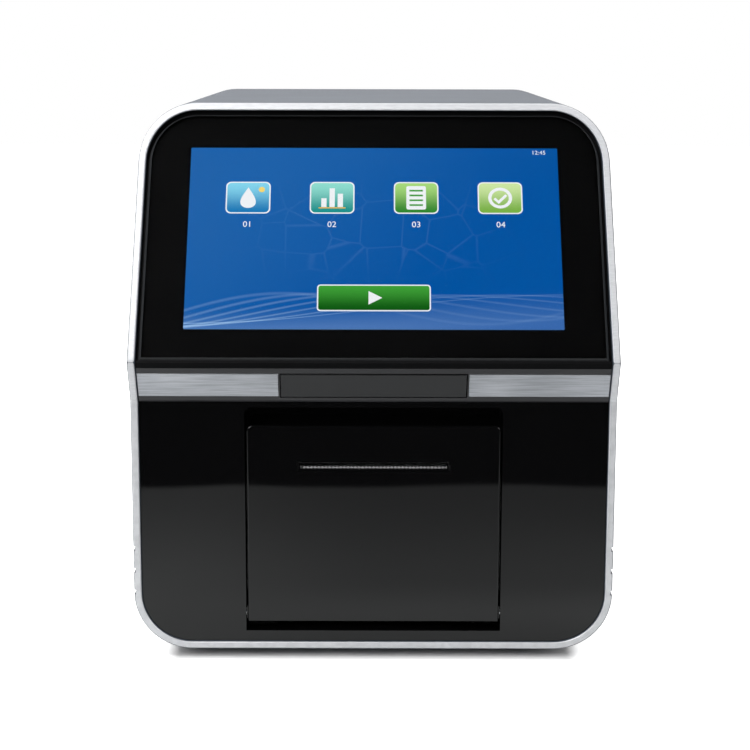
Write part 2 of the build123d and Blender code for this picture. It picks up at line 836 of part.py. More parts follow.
with BuildPart() as paper_cradle:
    with BuildSketch(Plane.YZ):
        with Locations((roll_y, roll_z)):
            Circle(trough_radius + cheek)
            Rectangle(2 * (trough_radius + cheek), cradle_top - roll_z, align=(Align.CENTER, Align.MIN))
    extrude(amount=cradle_half, both=True)
    with BuildSketch(Plane.XY.offset(base_top)):
        with Locations((0, roll_y)):
            with GridLocations(0, trough_radius / 2, 1, 2):
                Rectangle(2 * cradle_half, cheek)
    extrude(amount=roll_z - base_top)
    with BuildSketch(Plane.YZ):
        with Locations((roll_y, roll_z)):
            Circle(trough_radius)
            Rectangle(2 * trough_radius, cradle_top, align=(Align.CENTER, Align.MIN))
        with Locations((roll_y - trough_radius, cradle_lip)):
            Rectangle(2 * (cheek + paper_clearance), cradle_top, align=(Align.CENTER, Align.MIN))
    extrude(amount=cradle_half - cheek, both=True, mode=Mode.SUBTRACT)
save(paper_cradle, "paper_cradle")

# Roll of label paper wound on a card core
with BuildPart() as paper_roll:
    with BuildSketch(Plane.YZ):
        with Locations((roll_y, roll_z)):
            Circle(paper_radius)
            Circle(paper_core_radius + paper_core_wall + bore_gap, mode=Mode.SUBTRACT)
            Circle(paper_core_radius + paper_core_wall)
            Circle(paper_core_radius, mode=Mode.SUBTRACT)
    extrude(amount=paper_width / 2, both=True)
save(paper_roll, "paper_roll")

# Printer frame: two cheeks on the trough's sides, joined by crossbars
slot_z = on_plane(chin_plane, -slot_drop, fascia_recess)[1]
platen_centre = (nose_y + platen_setback, slot_z + platen_radius + seam)
idler_reach = printer_module * (platen_teeth + idler_teeth) / 2
idler_centre = (
    platen_centre[0] + idler_reach * cos(radians(idler_angle)),
    platen_centre[1] + idler_reach * sin(radians(idler_angle)),
)
idler_turn = idler_angle + 180 + 180 / idler_teeth
drive_angle = idler_turn - 14 * 360 / idler_teeth
drive_reach = printer_module * (idler_teeth + drive_teeth) / 2
drive_centre = (
    idler_centre[0] + drive_reach * cos(radians(drive_angle)),
    idler_centre[1] + drive_reach * sin(radians(drive_angle)),
)
cheek_start = platen_centre[0] - platen_radius - 2 * cheek
cheek_top = platen_centre[1] + platen_radius + 2 * cheek
head_top = platen_centre[1] - platen_radius - running_gap
head_start = platen_centre[0] - head_depth / 2

with BuildPart() as printer_frame:
    with BuildSketch(Plane.YZ.offset(cradle_half - cheek)) as cheek_face:
        with BuildLine():
            Polyline(
                (cheek_start, head_top - head_height),
                (cheek_start, cheek_top),
                (cheek_start + cheek_length, cheek_top),
                (cheek_start + cheek_length, cradle_top),
                (cheek_start + cheek_length / 4, cradle_top),
                close=True,
            )
        make_face()
        with Locations(platen_centre):
            Circle(platen_shaft_radius + bore_gap, mode=Mode.SUBTRACT)
        with Locations(drive_centre):
            Circle(printer_shaft_radius + 10 * bore_gap, mode=Mode.SUBTRACT)
    extrude(amount=cheek)
    mirror(about=Plane.YZ)
    with BuildSketch(Plane.YZ):
        with Locations((cheek_start + cheek_length - cheek, cheek_top - 3 * cheek)):
            Rectangle(2 * cheek, 6 * cheek)
        with Locations((platen_centre[0] + 3 * cheek, cheek_top - cheek / 2)):
            Rectangle(6 * cheek, cheek)
    extrude(amount=cradle_half - cheek, both=True)
    with BuildSketch(Plane.YZ.offset(cradle_half)):
        with Locations(idler_centre):
            Circle(idler_stud_radius)
    extrude(amount=printer_gear_width + 2 * running_gap)
save(printer_frame, "printer_frame")

with BuildPart() as print_head:
    with BuildSketch(Plane.YZ):
        with Locations((head_start, head_top - head_height)):
            Rectangle(head_depth, head_height, align=(Align.MIN, Align.MIN))
        for fin in range(3):
            with Locations((head_start + (fin + 0.5) * head_depth / 3, head_top - head_height)):
                Rectangle(head_depth / 6, head_height / 2, mode=Mode.SUBTRACT)
    extrude(amount=cradle_half - cheek, both=True)
save(print_head, "print_head")

# Platen: a rubber sleeve on a steel shaft that carries the platen gear outside the right cheek
gear_start = cradle_half + running_gap
gear_plane = Plane.YZ.offset(gear_start)

with BuildPart() as platen_sleeve:
    with BuildSketch(Plane.YZ):
        with Locations(platen_centre):
            Circle(platen_radius)
            Circle(platen_shaft_radius + bore_gap / 2, mode=Mode.SUBTRACT)
    extrude(amount=paper_width / 2 + paper_clearance, both=True)
save(platen_sleeve, "platen_sleeve")

with BuildPart() as platen_shaft:
    platen_face = gear_outline(
        gear_plane, platen_centre, printer_module, platen_teeth,
        platen_shaft_radius / 2, idler_angle, backlash,
    )
    extrude(platen_face, amount=printer_gear_width)
    with BuildSketch(Plane.YZ.offset(-cradle_half)):
        with Locations(platen_centre):
            Circle(platen_shaft_radius)
    extrude(amount=cradle_half + gear_start + printer_gear_width + running_gap)
save(platen_shaft, "platen_shaft")

with BuildPart() as idler_gear:
    idler_face = gear_outline(
        gear_plane, idler_centre, printer_module, idler_teeth,
        idler_stud_radius + bore_gap, idler_turn, backlash,
    )
    extrude(idler_face, amount=printer_gear_width)
save(idler_gear, "idler_gear")

with BuildPart() as motor_gear:
    drive_face = gear_outline(
        gear_plane, drive_centre, printer_module, drive_teeth, printer_shaft_radius / 2,
        drive_angle + 180 + 180 / drive_teeth, backlash,
    )
    extrude(drive_face, amount=printer_gear_width)
    with BuildSketch(Plane.YZ.offset(cradle_half - 4 * cheek)):
        with Locations(drive_centre):
            Circle(printer_shaft_radius)
    extrude(amount=4 * cheek + running_gap + printer_gear_width)
save(motor_gear, "motor_gear")

with BuildPart() as printer_motor:
    with BuildSketch(Plane.YZ.offset(cradle_half - cheek)):
        with Locations(drive_centre):
            Circle(printer_motor_radius)
    extrude(amount=-printer_motor_length)
    chamfer(printer_motor.edges(), 2 * bore_gap)
    with BuildSketch(Plane.YZ.offset(cradle_half - cheek)):
        with Locations(drive_centre):
            Circle(printer_shaft_radius + bore_gap)
    extrude(amount=-4 * cheek, mode=Mode.SUBTRACT)
save(printer_motor, "printer_motor")

# Base plate, rubber feet and the screws that hold them to the sleeve
with BuildPart() as base_plate:
    with BuildSketch(Plane.XY.offset(inner_low)):
        with Locations((0, (nose_y + base_start + back_y - base_end) / 2)):
            Rectangle(2 * base_half, back_y - base_end - nose_y - base_start)
        with Locations(*foot_spots):
            Circle(screw_hole, mode=Mode.SUBTRACT)
    extrude(amount=base_thickness)
save(base_plate, "base_plate")

with BuildPart() as feet:
    with BuildSketch():
        with Locations(*foot_spots):
            Circle(foot_radius)
    extrude(amount=foot_height)
    chamfer(feet.faces().group_by(Axis.Z)[0].edges(), foot_height / 8)
    with BuildSketch():
        with Locations(*foot_spots):
            Circle(foot_radius / 2)
    extrude(amount=foot_height * 0.65, mode=Mode.SUBTRACT)
    with BuildSketch():
        with Locations(*foot_spots):
            Circle(screw_hole)
    extrude(amount=foot_height, mode=Mode.SUBTRACT)
save(feet, "feet")

foot_seat = Plane((0, 0, foot_height * 0.65), x_dir=(1, 0, 0), z_dir=(0, 0, -1))
foot_screws = screw_set(foot_seat, [(x, -y) for x, y in foot_spots], screw_radius, 2 * foot_height)
save(foot_screws, "foot_screws")

# Deck that carries the tray and the spindle, on four columns
disc_y = nose_y + disc_setback
pinion_x = -(tongue_half - seam - rack_module) - rack_module * pinion_teeth / 2
pinion_y = nose_y + pinion_setback
tray_low = tray_door_low + tray_step
deck_top = tray_low - running_gap - rail_base
deck_low = deck_top - deck_thickness
deck_y = nose_y + deck_start + deck_length / 2
optic_y = nose_y + optic_setback
lift_y = nose_y + lift_setback
column_inset = 5 * column_radius
column_half = base_half - column_side_inset
deck_half = column_half + deck_border
column_spots = [
    (x, y)
    for x in (-column_half, column_half)
    for y in (deck_y - deck_length / 2 + column_inset, deck_y + deck_length / 2 - column_inset)
]

with BuildPart() as analysis_deck:
    with BuildSketch(Plane.XY.offset(deck_low)):
        with Locations((0, deck_y)):
            RectangleRounded(2 * deck_half, deck_length, column_radius)
        with Locations((0, disc_y)):
            Circle(spindle_motor_radius + 5 * running_gap, mode=Mode.SUBTRACT)
        with Locations((optic_side, optic_y)):
            Rectangle(2 * (optic_half + running_gap), 2 * (optic_half + running_gap), mode=Mode.SUBTRACT)
        with Locations((pinion_x, pinion_y)):
            Circle(2 * tray_shaft_radius, mode=Mode.SUBTRACT)
        with Locations(*column_spots):
            Circle(screw_hole, mode=Mode.SUBTRACT)
    extrude(amount=deck_thickness)
save(analysis_deck, "analysis_deck")

with BuildPart() as deck_columns:
    with BuildSketch(Plane.XY.offset(base_top)):
        with Locations(*column_spots):
            RegularPolygon(column_radius, 6)
    extrude(amount=deck_low - base_top)
    with BuildSketch(Plane.XY.offset(deck_low)):
        with Locations(*column_spots):
            Circle(screw_hole)
    extrude(amount=-4 * column_radius, mode=Mode.SUBTRACT)
save(deck_columns, "deck_columns")

deck_screws = screw_set(Plane.XY.offset(deck_top), column_spots, screw_radius, 3 * column_radius)

with BuildPart() as inner_screws:
    add(bracket_screws.part)
    add(deck_screws.part)
save(inner_screws, "inner_screws")

# Channel rails for the tray's side tongues
rail_inner = tongue_half + running_gap
rail_outer = rail_inner + rail_wall
rail_top = tray_low + tongue_height + running_gap + rail_lip

with BuildPart() as tray_rails:
    with BuildSketch(facing_back(nose_y + deck_start)):
        with Locations((rail_outer, deck_top)):
            Rectangle(rail_foot, rail_base, align=(Align.MAX, Align.MIN))
            Rectangle(rail_wall, rail_top - deck_top, align=(Align.MAX, Align.MIN))
        with Locations((rail_outer, rail_top)):
            Rectangle(rail_outer - body_half - running_gap, rail_lip, align=(Align.MAX, Align.MAX))
    extrude(amount=-deck_length)
    mirror(about=Plane.YZ)
save(tray_rails, "tray_rails")

# Disc tray: a flat carrier with a round pocket, a slot that lets it pass the spindle,
# and a rack moulded along its left side
rack_pitch = pi * rack_module
rack_count = int(tray_travel / rack_pitch) + 5
rack_start = pinion_y - 2 * rack_pitch
tray_start = nose_y + tray_door_depth
tray_end = rack_start + rack_count * rack_pitch
pocket_end = disc_y + disc_radius + disc_rim
tray_top = tray_low + tray_height

rack_root = -(tongue_half - seam - 2.25 * rack_module)
rack_half = (rack_pitch / 2 - backlash) / 2
tooth_lean = tan(radians(20))
rack_line = [(rack_back - body_half, rack_start)]
for tooth in range(rack_count):
    middle = rack_start + (tooth + 0.5) * rack_pitch
    foot, tip = rack_half + 1.25 * rack_module * tooth_lean, rack_half - rack_module * tooth_lean
    rack_line += [
        (rack_root, middle - foot),
        (rack_root - 2.25 * rack_module, middle - tip),
        (rack_root - 2.25 * rack_module, middle + tip),
        (rack_root, middle + foot),
    ]
rack_line.append((rack_back - body_half, tray_end))

with BuildPart() as disc_tray:
    tongue_size, tongue_centre = block_between(
        (-tongue_half, tray_start + fit_gap, tray_low), (tongue_half, tray_end, tray_low + tongue_height)
    )
    with Locations(tongue_centre):
        Box(*tongue_size)
    body_size, body_centre = block_between(
        (-body_half, tray_start, tray_low), (body_half, pocket_end, tray_top)
    )
    with Locations(body_centre):
        Box(*body_size)
    rib_size, rib_centre = block_between(
        (-body_half, pocket_end, tray_low), (rack_rib - body_half, tray_end, tray_top)
    )
    with Locations(rib_centre):
        Box(*rib_size)
    with BuildSketch(Plane.XY.offset(tray_low + tray_floor)):
        with Locations((0, disc_y)):
            Circle(disc_radius)
        with Locations((0, disc_y - disc_radius)):
            Circle(hub_slot_half)
    extrude(amount=tray_height, mode=Mode.SUBTRACT)
    with BuildSketch(Plane.XY.offset(tray_low)):
        with Locations((0, disc_y)):
            Circle(hub_slot_half)
            Rectangle(2 * hub_slot_half, tray_end - disc_y, align=(Align.CENTER, Align.MIN))
        with Locations((optic_side, optic_y)):
            Circle(optic_half - tray_floor)
    extrude(amount=tray_height, mode=Mode.SUBTRACT)
    seat_size, seat_centre = block_between(
        (-body_half - wall, rack_start, tray_low + rack_low),
        (rack_back - body_half, tray_end, tray_top + seam),
    )
    with Locations(seat_centre):
        Box(*seat_size, mode=Mode.SUBTRACT)
    with BuildSketch(Plane.XY.offset(tray_low + rack_low)):
        with BuildLine():
            Polyline(*rack_line, close=True)
        make_face()
    extrude(amount=tray_height - rack_low)
save(disc_tray, "disc_tray")

with BuildPart() as tray_front:
    with BuildSketch(Plane.YZ):
        with BuildLine():
            Polyline(
                on_plane(facet_plane, -strip_top - tray_door_shift, tray_door_inset),
                on_plane(facet_plane, -strip_top - strip_height - tray_door_shift, tray_door_inset),
                (tray_start, tray_door_low),
                (tray_start, tray_door_high),
                close=True,
            )
        make_face()
    extrude(amount=tray_door_width / 2, both=True)
    fillet(tray_front.faces().sort_by(Axis((0, 0, 0), facet_plane.z_dir))[-1].edges(), tray_door_edge)
save(tray_front, "tray_front")

# Pinion that drives the tray's rack, and its motor under the deck
with BuildPart() as tray_pinion:
    pinion_face = gear_outline(
        Plane.XY.offset(tray_low + rack_low), (pinion_x, pinion_y), rack_module, pinion_teeth,
        tray_shaft_radius / 2, 0, backlash,
    )
    extrude(pinion_face, amount=tray_height - rack_low)
    with BuildSketch(Plane.XY.offset(deck_low - 5 * tray_shaft_radius)):
        with Locations((pinion_x, pinion_y)):
            Circle(tray_shaft_radius)
    extrude(amount=tray_top + seam - deck_low + 5 * tray_shaft_radius)
save(tray_pinion, "tray_pinion")

with BuildPart() as tray_motor:
    with BuildSketch(Plane.XY.offset(deck_low)):
        with Locations((pinion_x, pinion_y)):
            Circle(tray_motor_radius)
    extrude(amount=-tray_motor_height)
    chamfer(tray_motor.edges(), 2 * seam)
    with BuildSketch(Plane.XY.offset(deck_low)):
        with Locations((pinion_x, pinion_y)):
            Circle(tray_shaft_radius + bore_gap)
    extrude(amount=-6 * tray_shaft_radius, mode=Mode.SUBTRACT)
save(tray_motor, "tray_motor")

# Spindle: a flat motor on a carriage that climbs two guide pins to lift the disc
hub_top = tray_low - running_gap - bore_gap
hub_low = hub_top - spindle_hub_height
motor_top = hub_low - 3 * running_gap
motor_low = motor_top - spindle_motor_height
carriage_low = motor_low - carriage_thickness

with BuildPart() as guide_pins:
    with BuildSketch(Plane.XY.offset(deck_low)):
        with Locations((0, disc_y)):
            with GridLocations(2 * guide_spread, 0, 2, 1):
                Circle(guide_radius)
    extrude(amount=-guide_length)
    with BuildSketch(Plane.XY.offset(deck_low - guide_length)):
        with Locations((0, disc_y)):
            with GridLocations(2 * guide_spread, 0, 2, 1):
                Circle(1.6 * guide_radius)
    extrude(amount=guide_radius / 2)
save(guide_pins, "guide_pins")

with BuildPart() as spindle_carriage:
    with BuildSketch(Plane.XY.offset(carriage_low)):
        with Locations((0, disc_y)):
            RectangleRounded(2 * carriage_half, 2 * spindle_motor_radius, 3 * guide_radius)
            arm_length = lift_y - disc_y + 2 * lift_rod_radius
            Rectangle(4 * lift_rod_radius, arm_length, align=(Align.CENTER, Align.MIN))
            with GridLocations(2 * guide_spread, 0, 2, 1):
                Circle(guide_radius + bore_gap, mode=Mode.SUBTRACT)
    extrude(amount=carriage_thickness)
save(spindle_carriage, "spindle_carriage")

with BuildPart() as spindle_motor:
    with BuildSketch(Plane.XY.offset(motor_low)):
        with Locations((0, disc_y)):
            Circle(spindle_motor_radius)
    extrude(amount=spindle_motor_height)
    chamfer(spindle_motor.edges(), 2 * seam)
    with BuildSketch(Plane.XY.offset(motor_top)):
        with Locations((0, disc_y)):
            Circle(spindle_shaft_radius + bore_gap)
    extrude(amount=-0.6 * spindle_motor_height, mode=Mode.SUBTRACT)
save(spindle_motor, "spindle_motor")

with BuildPart() as spindle_hub:
    with BuildSketch(Plane.XY.offset(motor_top - spindle_motor_height / 2)):
        with Locations((0, disc_y)):
            Circle(spindle_shaft_radius)
    extrude(amount=hub_top - motor_top + spindle_motor_height / 2)
    with BuildSketch(Plane.XY.offset(hub_low)):
        with Locations((0, disc_y)):
            Circle(spindle_hub_radius)
    extrude(amount=spindle_hub_height / 2)
    with BuildSketch(Plane.XY.offset(hub_low + spindle_hub_height / 2)):
        with Locations((0, disc_y)):
            Circle(0.75 * spindle_hub_radius)
    extrude(amount=spindle_hub_height / 2, taper=20)
save(spindle_hub, "spindle_hub")

with BuildPart() as lift_rod:
    with BuildSketch(Plane.XY.offset(motor_low)):
        with Locations((0, lift_y)):
            Circle(lift_rod_radius)
    extrude(amount=deck_low - spindle_travel - 2 * running_gap - motor_low)
save(lift_rod, "lift_rod")

with BuildPart() as lift_motor:
    with BuildSketch(Plane.XY.offset(deck_low)):
        with Locations((0, lift_y)):
            Circle(lift_motor_radius)
            Circle(lift_rod_radius + bore_gap, mode=Mode.SUBTRACT)
    extrude(amount=-lift_motor_height)
save(lift_motor, "lift_motor")

# Detector under the disc, hung from the deck by two ears
with BuildPart() as detector_block:
    with BuildSketch(Plane.XY.offset(deck_low - 2 * optic_half / 3)):
        with Locations((optic_side, optic_y)):
            Rectangle(2 * optic_half, 2 * optic_half)
    extrude(amount=hub_top - deck_low + 2 * optic_half / 3)
    with BuildSketch(Plane.XY.offset(deck_low)):
        with Locations((optic_side, optic_y)):
            Rectangle(3.2 * optic_half, 2 * optic_half)
    extrude(amount=-optic_half / 3)
    with BuildSketch(Plane.XY.offset(hub_top)):
        with Locations((optic_side, optic_y)):
            Circle(optic_half / 3)
    extrude(amount=-optic_half / 3, mode=Mode.SUBTRACT)
save(detector_block, "detector_block")

# Cover over the disc on four legs, with the free-turning clamp and the optics on top
lid_low = tray_door_high + 1
lid_plate = lid_low + lid_skirt
lid_top = lid_plate + lid_thickness
lid_y = nose_y + lid_start + lid_length / 2
leg_x = rail_outer + 2 * lid_leg_radius
leg_spots = [(x, lid_y + y) for x in (-leg_x, leg_x) for y in (-lid_length / 2, lid_length / 2)]

with BuildPart() as chamber_lid:
    with BuildSketch(Plane.XY.offset(lid_low)):
        with Locations((0, lid_y)):
            RectangleRounded(2 * lid_half, lid_length, lid_leg_radius)
        with Locations(*leg_spots):
            Circle(2 * lid_leg_radius)
    extrude(amount=lid_top - lid_low)
    with BuildSketch(Plane.XY.offset(lid_low)):
        with Locations((0, lid_y)):
            Rectangle(2 * (lid_half - lid_thickness), lid_length - 2 * lid_thickness)
        with Locations(*leg_spots):
            Circle(2 * lid_leg_radius, mode=Mode.SUBTRACT)
    extrude(amount=lid_skirt, mode=Mode.SUBTRACT)
    with BuildSketch(Plane.XY.offset(deck_top)):
        with Locations(*leg_spots):
            Circle(lid_leg_radius)
    extrude(amount=lid_top - deck_top)
    with BuildSketch(Plane.XY.offset(lid_low)):
        with Locations((0, disc_y)):
            Circle(clamp_shaft_radius + bore_gap)
        with Locations((optic_side, optic_y)):
            Circle(optic_half / 2)
        with Locations((-optic_side, optic_y)):
            Rectangle(2 * optic_half, optic_half)
    extrude(amount=2 * (lid_top - lid_low), mode=Mode.SUBTRACT)
save(chamber_lid, "chamber_lid")

with BuildPart() as disc_clamp:
    with BuildSketch(Plane.XY.offset(lid_low - 2 * running_gap)):
        with Locations((0, disc_y)):
            Circle(clamp_radius)
    extrude(amount=lid_skirt)
    with BuildSketch(Plane.XY.offset(lid_low)):
        with Locations((0, disc_y)):
            Circle(clamp_shaft_radius)
    extrude(amount=lid_top + running_gap - lid_low)
    with BuildSketch(Plane.XY.offset(lid_top + running_gap)):
        with Locations((0, disc_y)):
            Circle(2 * clamp_shaft_radius)
    extrude(amount=clamp_shaft_radius / 2)
save(disc_clamp, "disc_clamp")

with BuildPart() as lamp_module:
    with BuildSketch(Plane.XY.offset(lid_top)):
        with Locations((optic_side, optic_y)):
            RectangleRounded(2 * lamp_half, 2 * lamp_half, lamp_half / 5)
    extrude(amount=lamp_height)
    with BuildSketch(Plane.XY.offset(lid_top + lamp_height)):
        with Locations((optic_side, optic_y)):
            with GridLocations(0, lamp_half / 3, 1, 5):
                Rectangle(1.6 * lamp_half, lamp_half / 6)
    extrude(amount=-0.4 * lamp_height, mode=Mode.SUBTRACT)
save(lamp_module, "lamp_module")

with BuildPart() as barcode_reader:
    with BuildSketch(Plane.XY.offset(lid_top)):
        with Locations((-optic_side, optic_y)):
            RectangleRounded(3 * optic_half, 4 * optic_half, optic_half / 3)
            Rectangle(2 * optic_half, optic_half, mode=Mode.SUBTRACT)
    extrude(amount=scanner_height - lid_thickness)
    with BuildSketch(Plane.XY.offset(lid_top + scanner_height - lid_thickness)):
        with Locations((-optic_side, optic_y)):
            RectangleRounded(3 * optic_half, 4 * optic_half, optic_half / 3)
    extrude(amount=lid_thickness)
save(barcode_reader, "barcode_reader")

# Rear panel, set inside the sleeve and screwed to four corner blocks
panel_back = back_y - rear_recess
panel_front = panel_back - rear_thickness
block_x = inner_half - block_size / 2
block_rises = (block_low + block_size / 2, height - block_drop + block_size / 2)
block_spots = [(x, z) for x in (-block_x, block_x) for z in block_rises]
fan_height = height - fan_drop
fan_rises = (fan_height - fan_hole_half, fan_height + fan_hole_half)
fan_spots = [(x, z) for x in (-fan_hole_half, fan_hole_half) for z in fan_rises]
inlet_side = inner_half - inlet_side_inset
supply_right = inlet_side - inlet_size[0] / 2 - supply_inlet_gap
supply_left = supply_screw_gap - foot_half
supply_width = supply_right - supply_left
supply_side = (supply_left + supply_right) / 2
usb_side = socket_side - 1.5 * network_size[0]
board_top = base_top + shelf_lift + board_standoff + board_thickness

with BuildPart() as corner_blocks:
    with BuildSketch(facing_back(panel_front)):
        with Locations(*block_spots):
            Rectangle(block_size, block_size)
            Circle(screw_hole, mode=Mode.SUBTRACT)
    extrude(amount=block_size)
save(corner_blocks, "corner_blocks")

with BuildPart() as rear_panel:
    with BuildSketch(facing_back(panel_back)):
        add(sleeve_outline(wall + fit_gap, Plane.XY))
        with Locations(*block_spots):
            Circle(screw_hole, mode=Mode.SUBTRACT)
        with Locations(*fan_spots):
            Circle(fan_screw_radius + bore_gap, mode=Mode.SUBTRACT)
        with Locations((0, fan_height)):
            Circle(fan_bore, mode=Mode.SUBTRACT)
        with Locations((inlet_side, inlet_height)):
            Rectangle(inlet_size[0] + fit_gap, inlet_size[1] + fit_gap, mode=Mode.SUBTRACT)
        with Locations((inlet_side, switch_height)):
            Rectangle(switch_size[0] + fit_gap, switch_size[1] + fit_gap, mode=Mode.SUBTRACT)
        with Locations((socket_side, board_top + network_size[1] / 2)):
            Rectangle(network_size[0] + fit_gap, network_size[1] + fit_gap, mode=Mode.SUBTRACT)
        with Locations((usb_side, board_top + usb_size[1] / 2)):
            Rectangle(usb_size[0] + fit_gap, usb_size[1] + fit_gap, mode=Mode.SUBTRACT)
        with Locations((supply_side, inlet_height)):
            with GridLocations(panel_slot_pitch, 0, panel_slot_count, 1):
                SlotOverall(slot_length, slot_width, rotation=90, mode=Mode.SUBTRACT)
    extrude(amount=rear_thickness)
save(rear_panel, "rear_panel")

rear_view = Plane((0, panel_back, 0), x_dir=(-1, 0, 0), z_dir=(0, 1, 0))
panel_screws = screw_set(rear_view, block_spots, screw_radius, block_size - 2 * screw_radius)

# Fan: square frame on the rear panel, seven-bladed rotor and a wire guard outside
with BuildPart() as fan_frame:
    with BuildSketch(facing_back(panel_front)):
        with Locations((0, fan_height)):
            RectangleRounded(fan_size, fan_size, fan_size / 16)
            Circle(fan_bore, mode=Mode.SUBTRACT)
        with Locations(*fan_spots):
            Circle(fan_screw_radius + bore_gap, mode=Mode.SUBTRACT)
    extrude(amount=fan_depth)
    with BuildSketch(facing_back(panel_front - fan_depth + wall)):
        with Locations((0, fan_height)):
            Circle(rotor_hub_radius + wall / 2)
            with PolarLocations(fan_bore / 2, 3, start_angle=30):
                Rectangle(fan_bore, wall)
    extrude(amount=wall)
save(fan_frame, "fan_frame")

rotor_front = panel_front - fan_depth + wall + running_gap
rotor_depth = fan_depth - 2 * wall

with BuildPart() as fan_rotor:
    with BuildSketch(facing_back(rotor_front + rotor_depth)):
        with Locations((0, fan_height)):
            Circle(rotor_hub_radius)
    extrude(amount=rotor_depth)
    fillet(fan_rotor.faces().sort_by(Axis.Y)[-1].edges(), wall / 2)
    for blade in range(rotor_blades):
        with BuildSketch(facing_back(rotor_front + rotor_depth - wall / 2)):
            with Locations((0, fan_height)):
                with PolarLocations(0, 1, start_angle=360 / rotor_blades * blade):
                    with Locations(((rotor_hub_radius + rotor_radius) / 2 - wall / 4, 0)):
                        Rectangle(rotor_radius - rotor_hub_radius + wall / 2, wall / 2)
        with BuildSketch(facing_back(rotor_front + wall / 2)):
            with Locations((0, fan_height)):
                with PolarLocations(0, 1, start_angle=360 / rotor_blades * (blade + blade_sweep)):
                    with Locations(((rotor_hub_radius + rotor_radius) / 2 - wall / 4, 0)):
                        Rectangle(rotor_radius - rotor_hub_radius + wall / 2, wall / 2)
        loft(ruled=True)
save(fan_rotor, "fan_rotor")

with BuildPart() as fan_guard:
    with BuildSketch(facing_back(panel_back + guard_thickness)):
        with Locations((0, fan_height)):
            for ring in range(guard_rings, 0, -1):
                Circle(ring * fan_bore / guard_rings - guard_wire)
                Circle(ring * fan_bore / guard_rings - 2 * guard_wire, mode=Mode.SUBTRACT)
            with PolarLocations(0, 2, start_angle=45, angular_range=180):
                Rectangle(2 * sqrt(2) * fan_hole_half, guard_wire)
        with Locations(*fan_spots):
            Circle(2 * fan_screw_radius)
            Circle(fan_screw_radius + bore_gap, mode=Mode.SUBTRACT)
    extrude(amount=guard_thickness)
save(fan_guard, "fan_guard")

guard_view = Plane((0, panel_back + guard_thickness, 0), x_dir=(-1, 0, 0), z_dir=(0, 1, 0))
fan_screw_length = guard_thickness + rear_thickness + 0.9 * fan_depth
fan_screws = screw_set(guard_view, [(-x, z) for x, z in fan_spots], fan_screw_radius, fan_screw_length)

with BuildPart() as rear_screws:
    add(panel_screws.part)
    add(fan_screws.part)
save(rear_screws, "rear_screws")

# Mains inlet, with its three pins, and the switch above it
pin_low = inlet_height - pin_drop
pin_spots = [
    (inlet_side - pin_pitch, pin_low),
    (inlet_side + pin_pitch, pin_low),
    (inlet_side, inlet_height + earth_pin_rise),
]

with BuildPart() as mains_inlet:
    with BuildSketch(facing_back(panel_back)):
        with Locations((inlet_side, inlet_height)):
            Rectangle(*inlet_size)
    extrude(amount=inlet_depth)
    with BuildSketch(facing_back(panel_back + rear_thickness)):
        with Locations((inlet_side, inlet_height)):
            RectangleRounded(inlet_size[0] + 2 * inlet_wall, inlet_size[1] + 2 * inlet_wall, inlet_wall)
    extrude(amount=rear_thickness)
    with BuildSketch(facing_back(panel_back + rear_thickness)) as cavity:
        with Locations((inlet_side, inlet_height)):
            Rectangle(inlet_size[0] - 2 * inlet_wall, inlet_size[1] - 2 * inlet_wall)
        chamfer(cavity.vertices().group_by(Axis.Y)[-1], 3 * inlet_wall)
    extrude(amount=pin_length + 2 * rear_thickness, mode=Mode.SUBTRACT)
save(mains_inlet, "mains_inlet")

with BuildPart() as inlet_pins:
    with BuildSketch(facing_back(panel_back + rear_thickness - pin_length - 2 * rear_thickness)):
        with Locations(*pin_spots):
            Rectangle(*pin_size)
    extrude(amount=-pin_length)
save(inlet_pins, "inlet_pins")

rocker_y = panel_back - rocker_setback
rocker_room = 3 * fit_gap

with BuildPart() as switch_housing:
    with BuildSketch(facing_back(panel_back)):
        with Locations((inlet_side, switch_height)):
            Rectangle(*switch_size)
    extrude(amount=inlet_depth - rear_thickness)
    with BuildSketch(facing_back(panel_back + rear_thickness)):
        with Locations((inlet_side, switch_height)):
            RectangleRounded(switch_size[0] + inlet_wall, switch_size[1] + inlet_wall, inlet_wall / 2)
    extrude(amount=rear_thickness)
    with BuildSketch(facing_back(panel_back + rear_thickness)):
        with Locations((inlet_side, switch_height)):
            Rectangle(rocker_width + 2 * fit_gap, rocker_length + 2 * rocker_room)
    extrude(amount=rear_thickness + inlet_depth / 2, mode=Mode.SUBTRACT)
    with BuildSketch(Plane.YZ.offset(inlet_side)):
        with Locations((rocker_y, switch_height)):
            Circle(rocker_axle_radius + bore_gap)
    extrude(amount=switch_size[0] / 2 - running_gap, both=True, mode=Mode.SUBTRACT)
save(switch_housing, "switch_housing")

tilt = radians(rocker_tilt)
rocker_centre = (inlet_side, rocker_y, switch_height)
rocker_plane = Plane(rocker_centre, x_dir=(0, cos(tilt), -sin(tilt)), z_dir=(1, 0, 0))

with BuildPart() as power_rocker:
    with BuildSketch(rocker_plane):
        with BuildLine():
            Polyline(
                (-rocker_rise, -rocker_length / 4),
                (rocker_rise, -rocker_length / 2),
                (rocker_rise / 2, 0),
                (rocker_rise, rocker_length / 2),
                (-rocker_rise, rocker_length / 4),
                close=True,
            )
        make_face()
    extrude(amount=rocker_width / 2, both=True)
    with BuildSketch(rocker_plane):
        Circle(rocker_axle_radius)
    extrude(amount=switch_size[0] / 2 - 2 * running_gap, both=True)
save(power_rocker, "power_rocker")

# Power supply on the base, and the shelf over it that carries the main board
supply_y = nose_y + depth - base_end - supply_depth / 2 - supply_gap

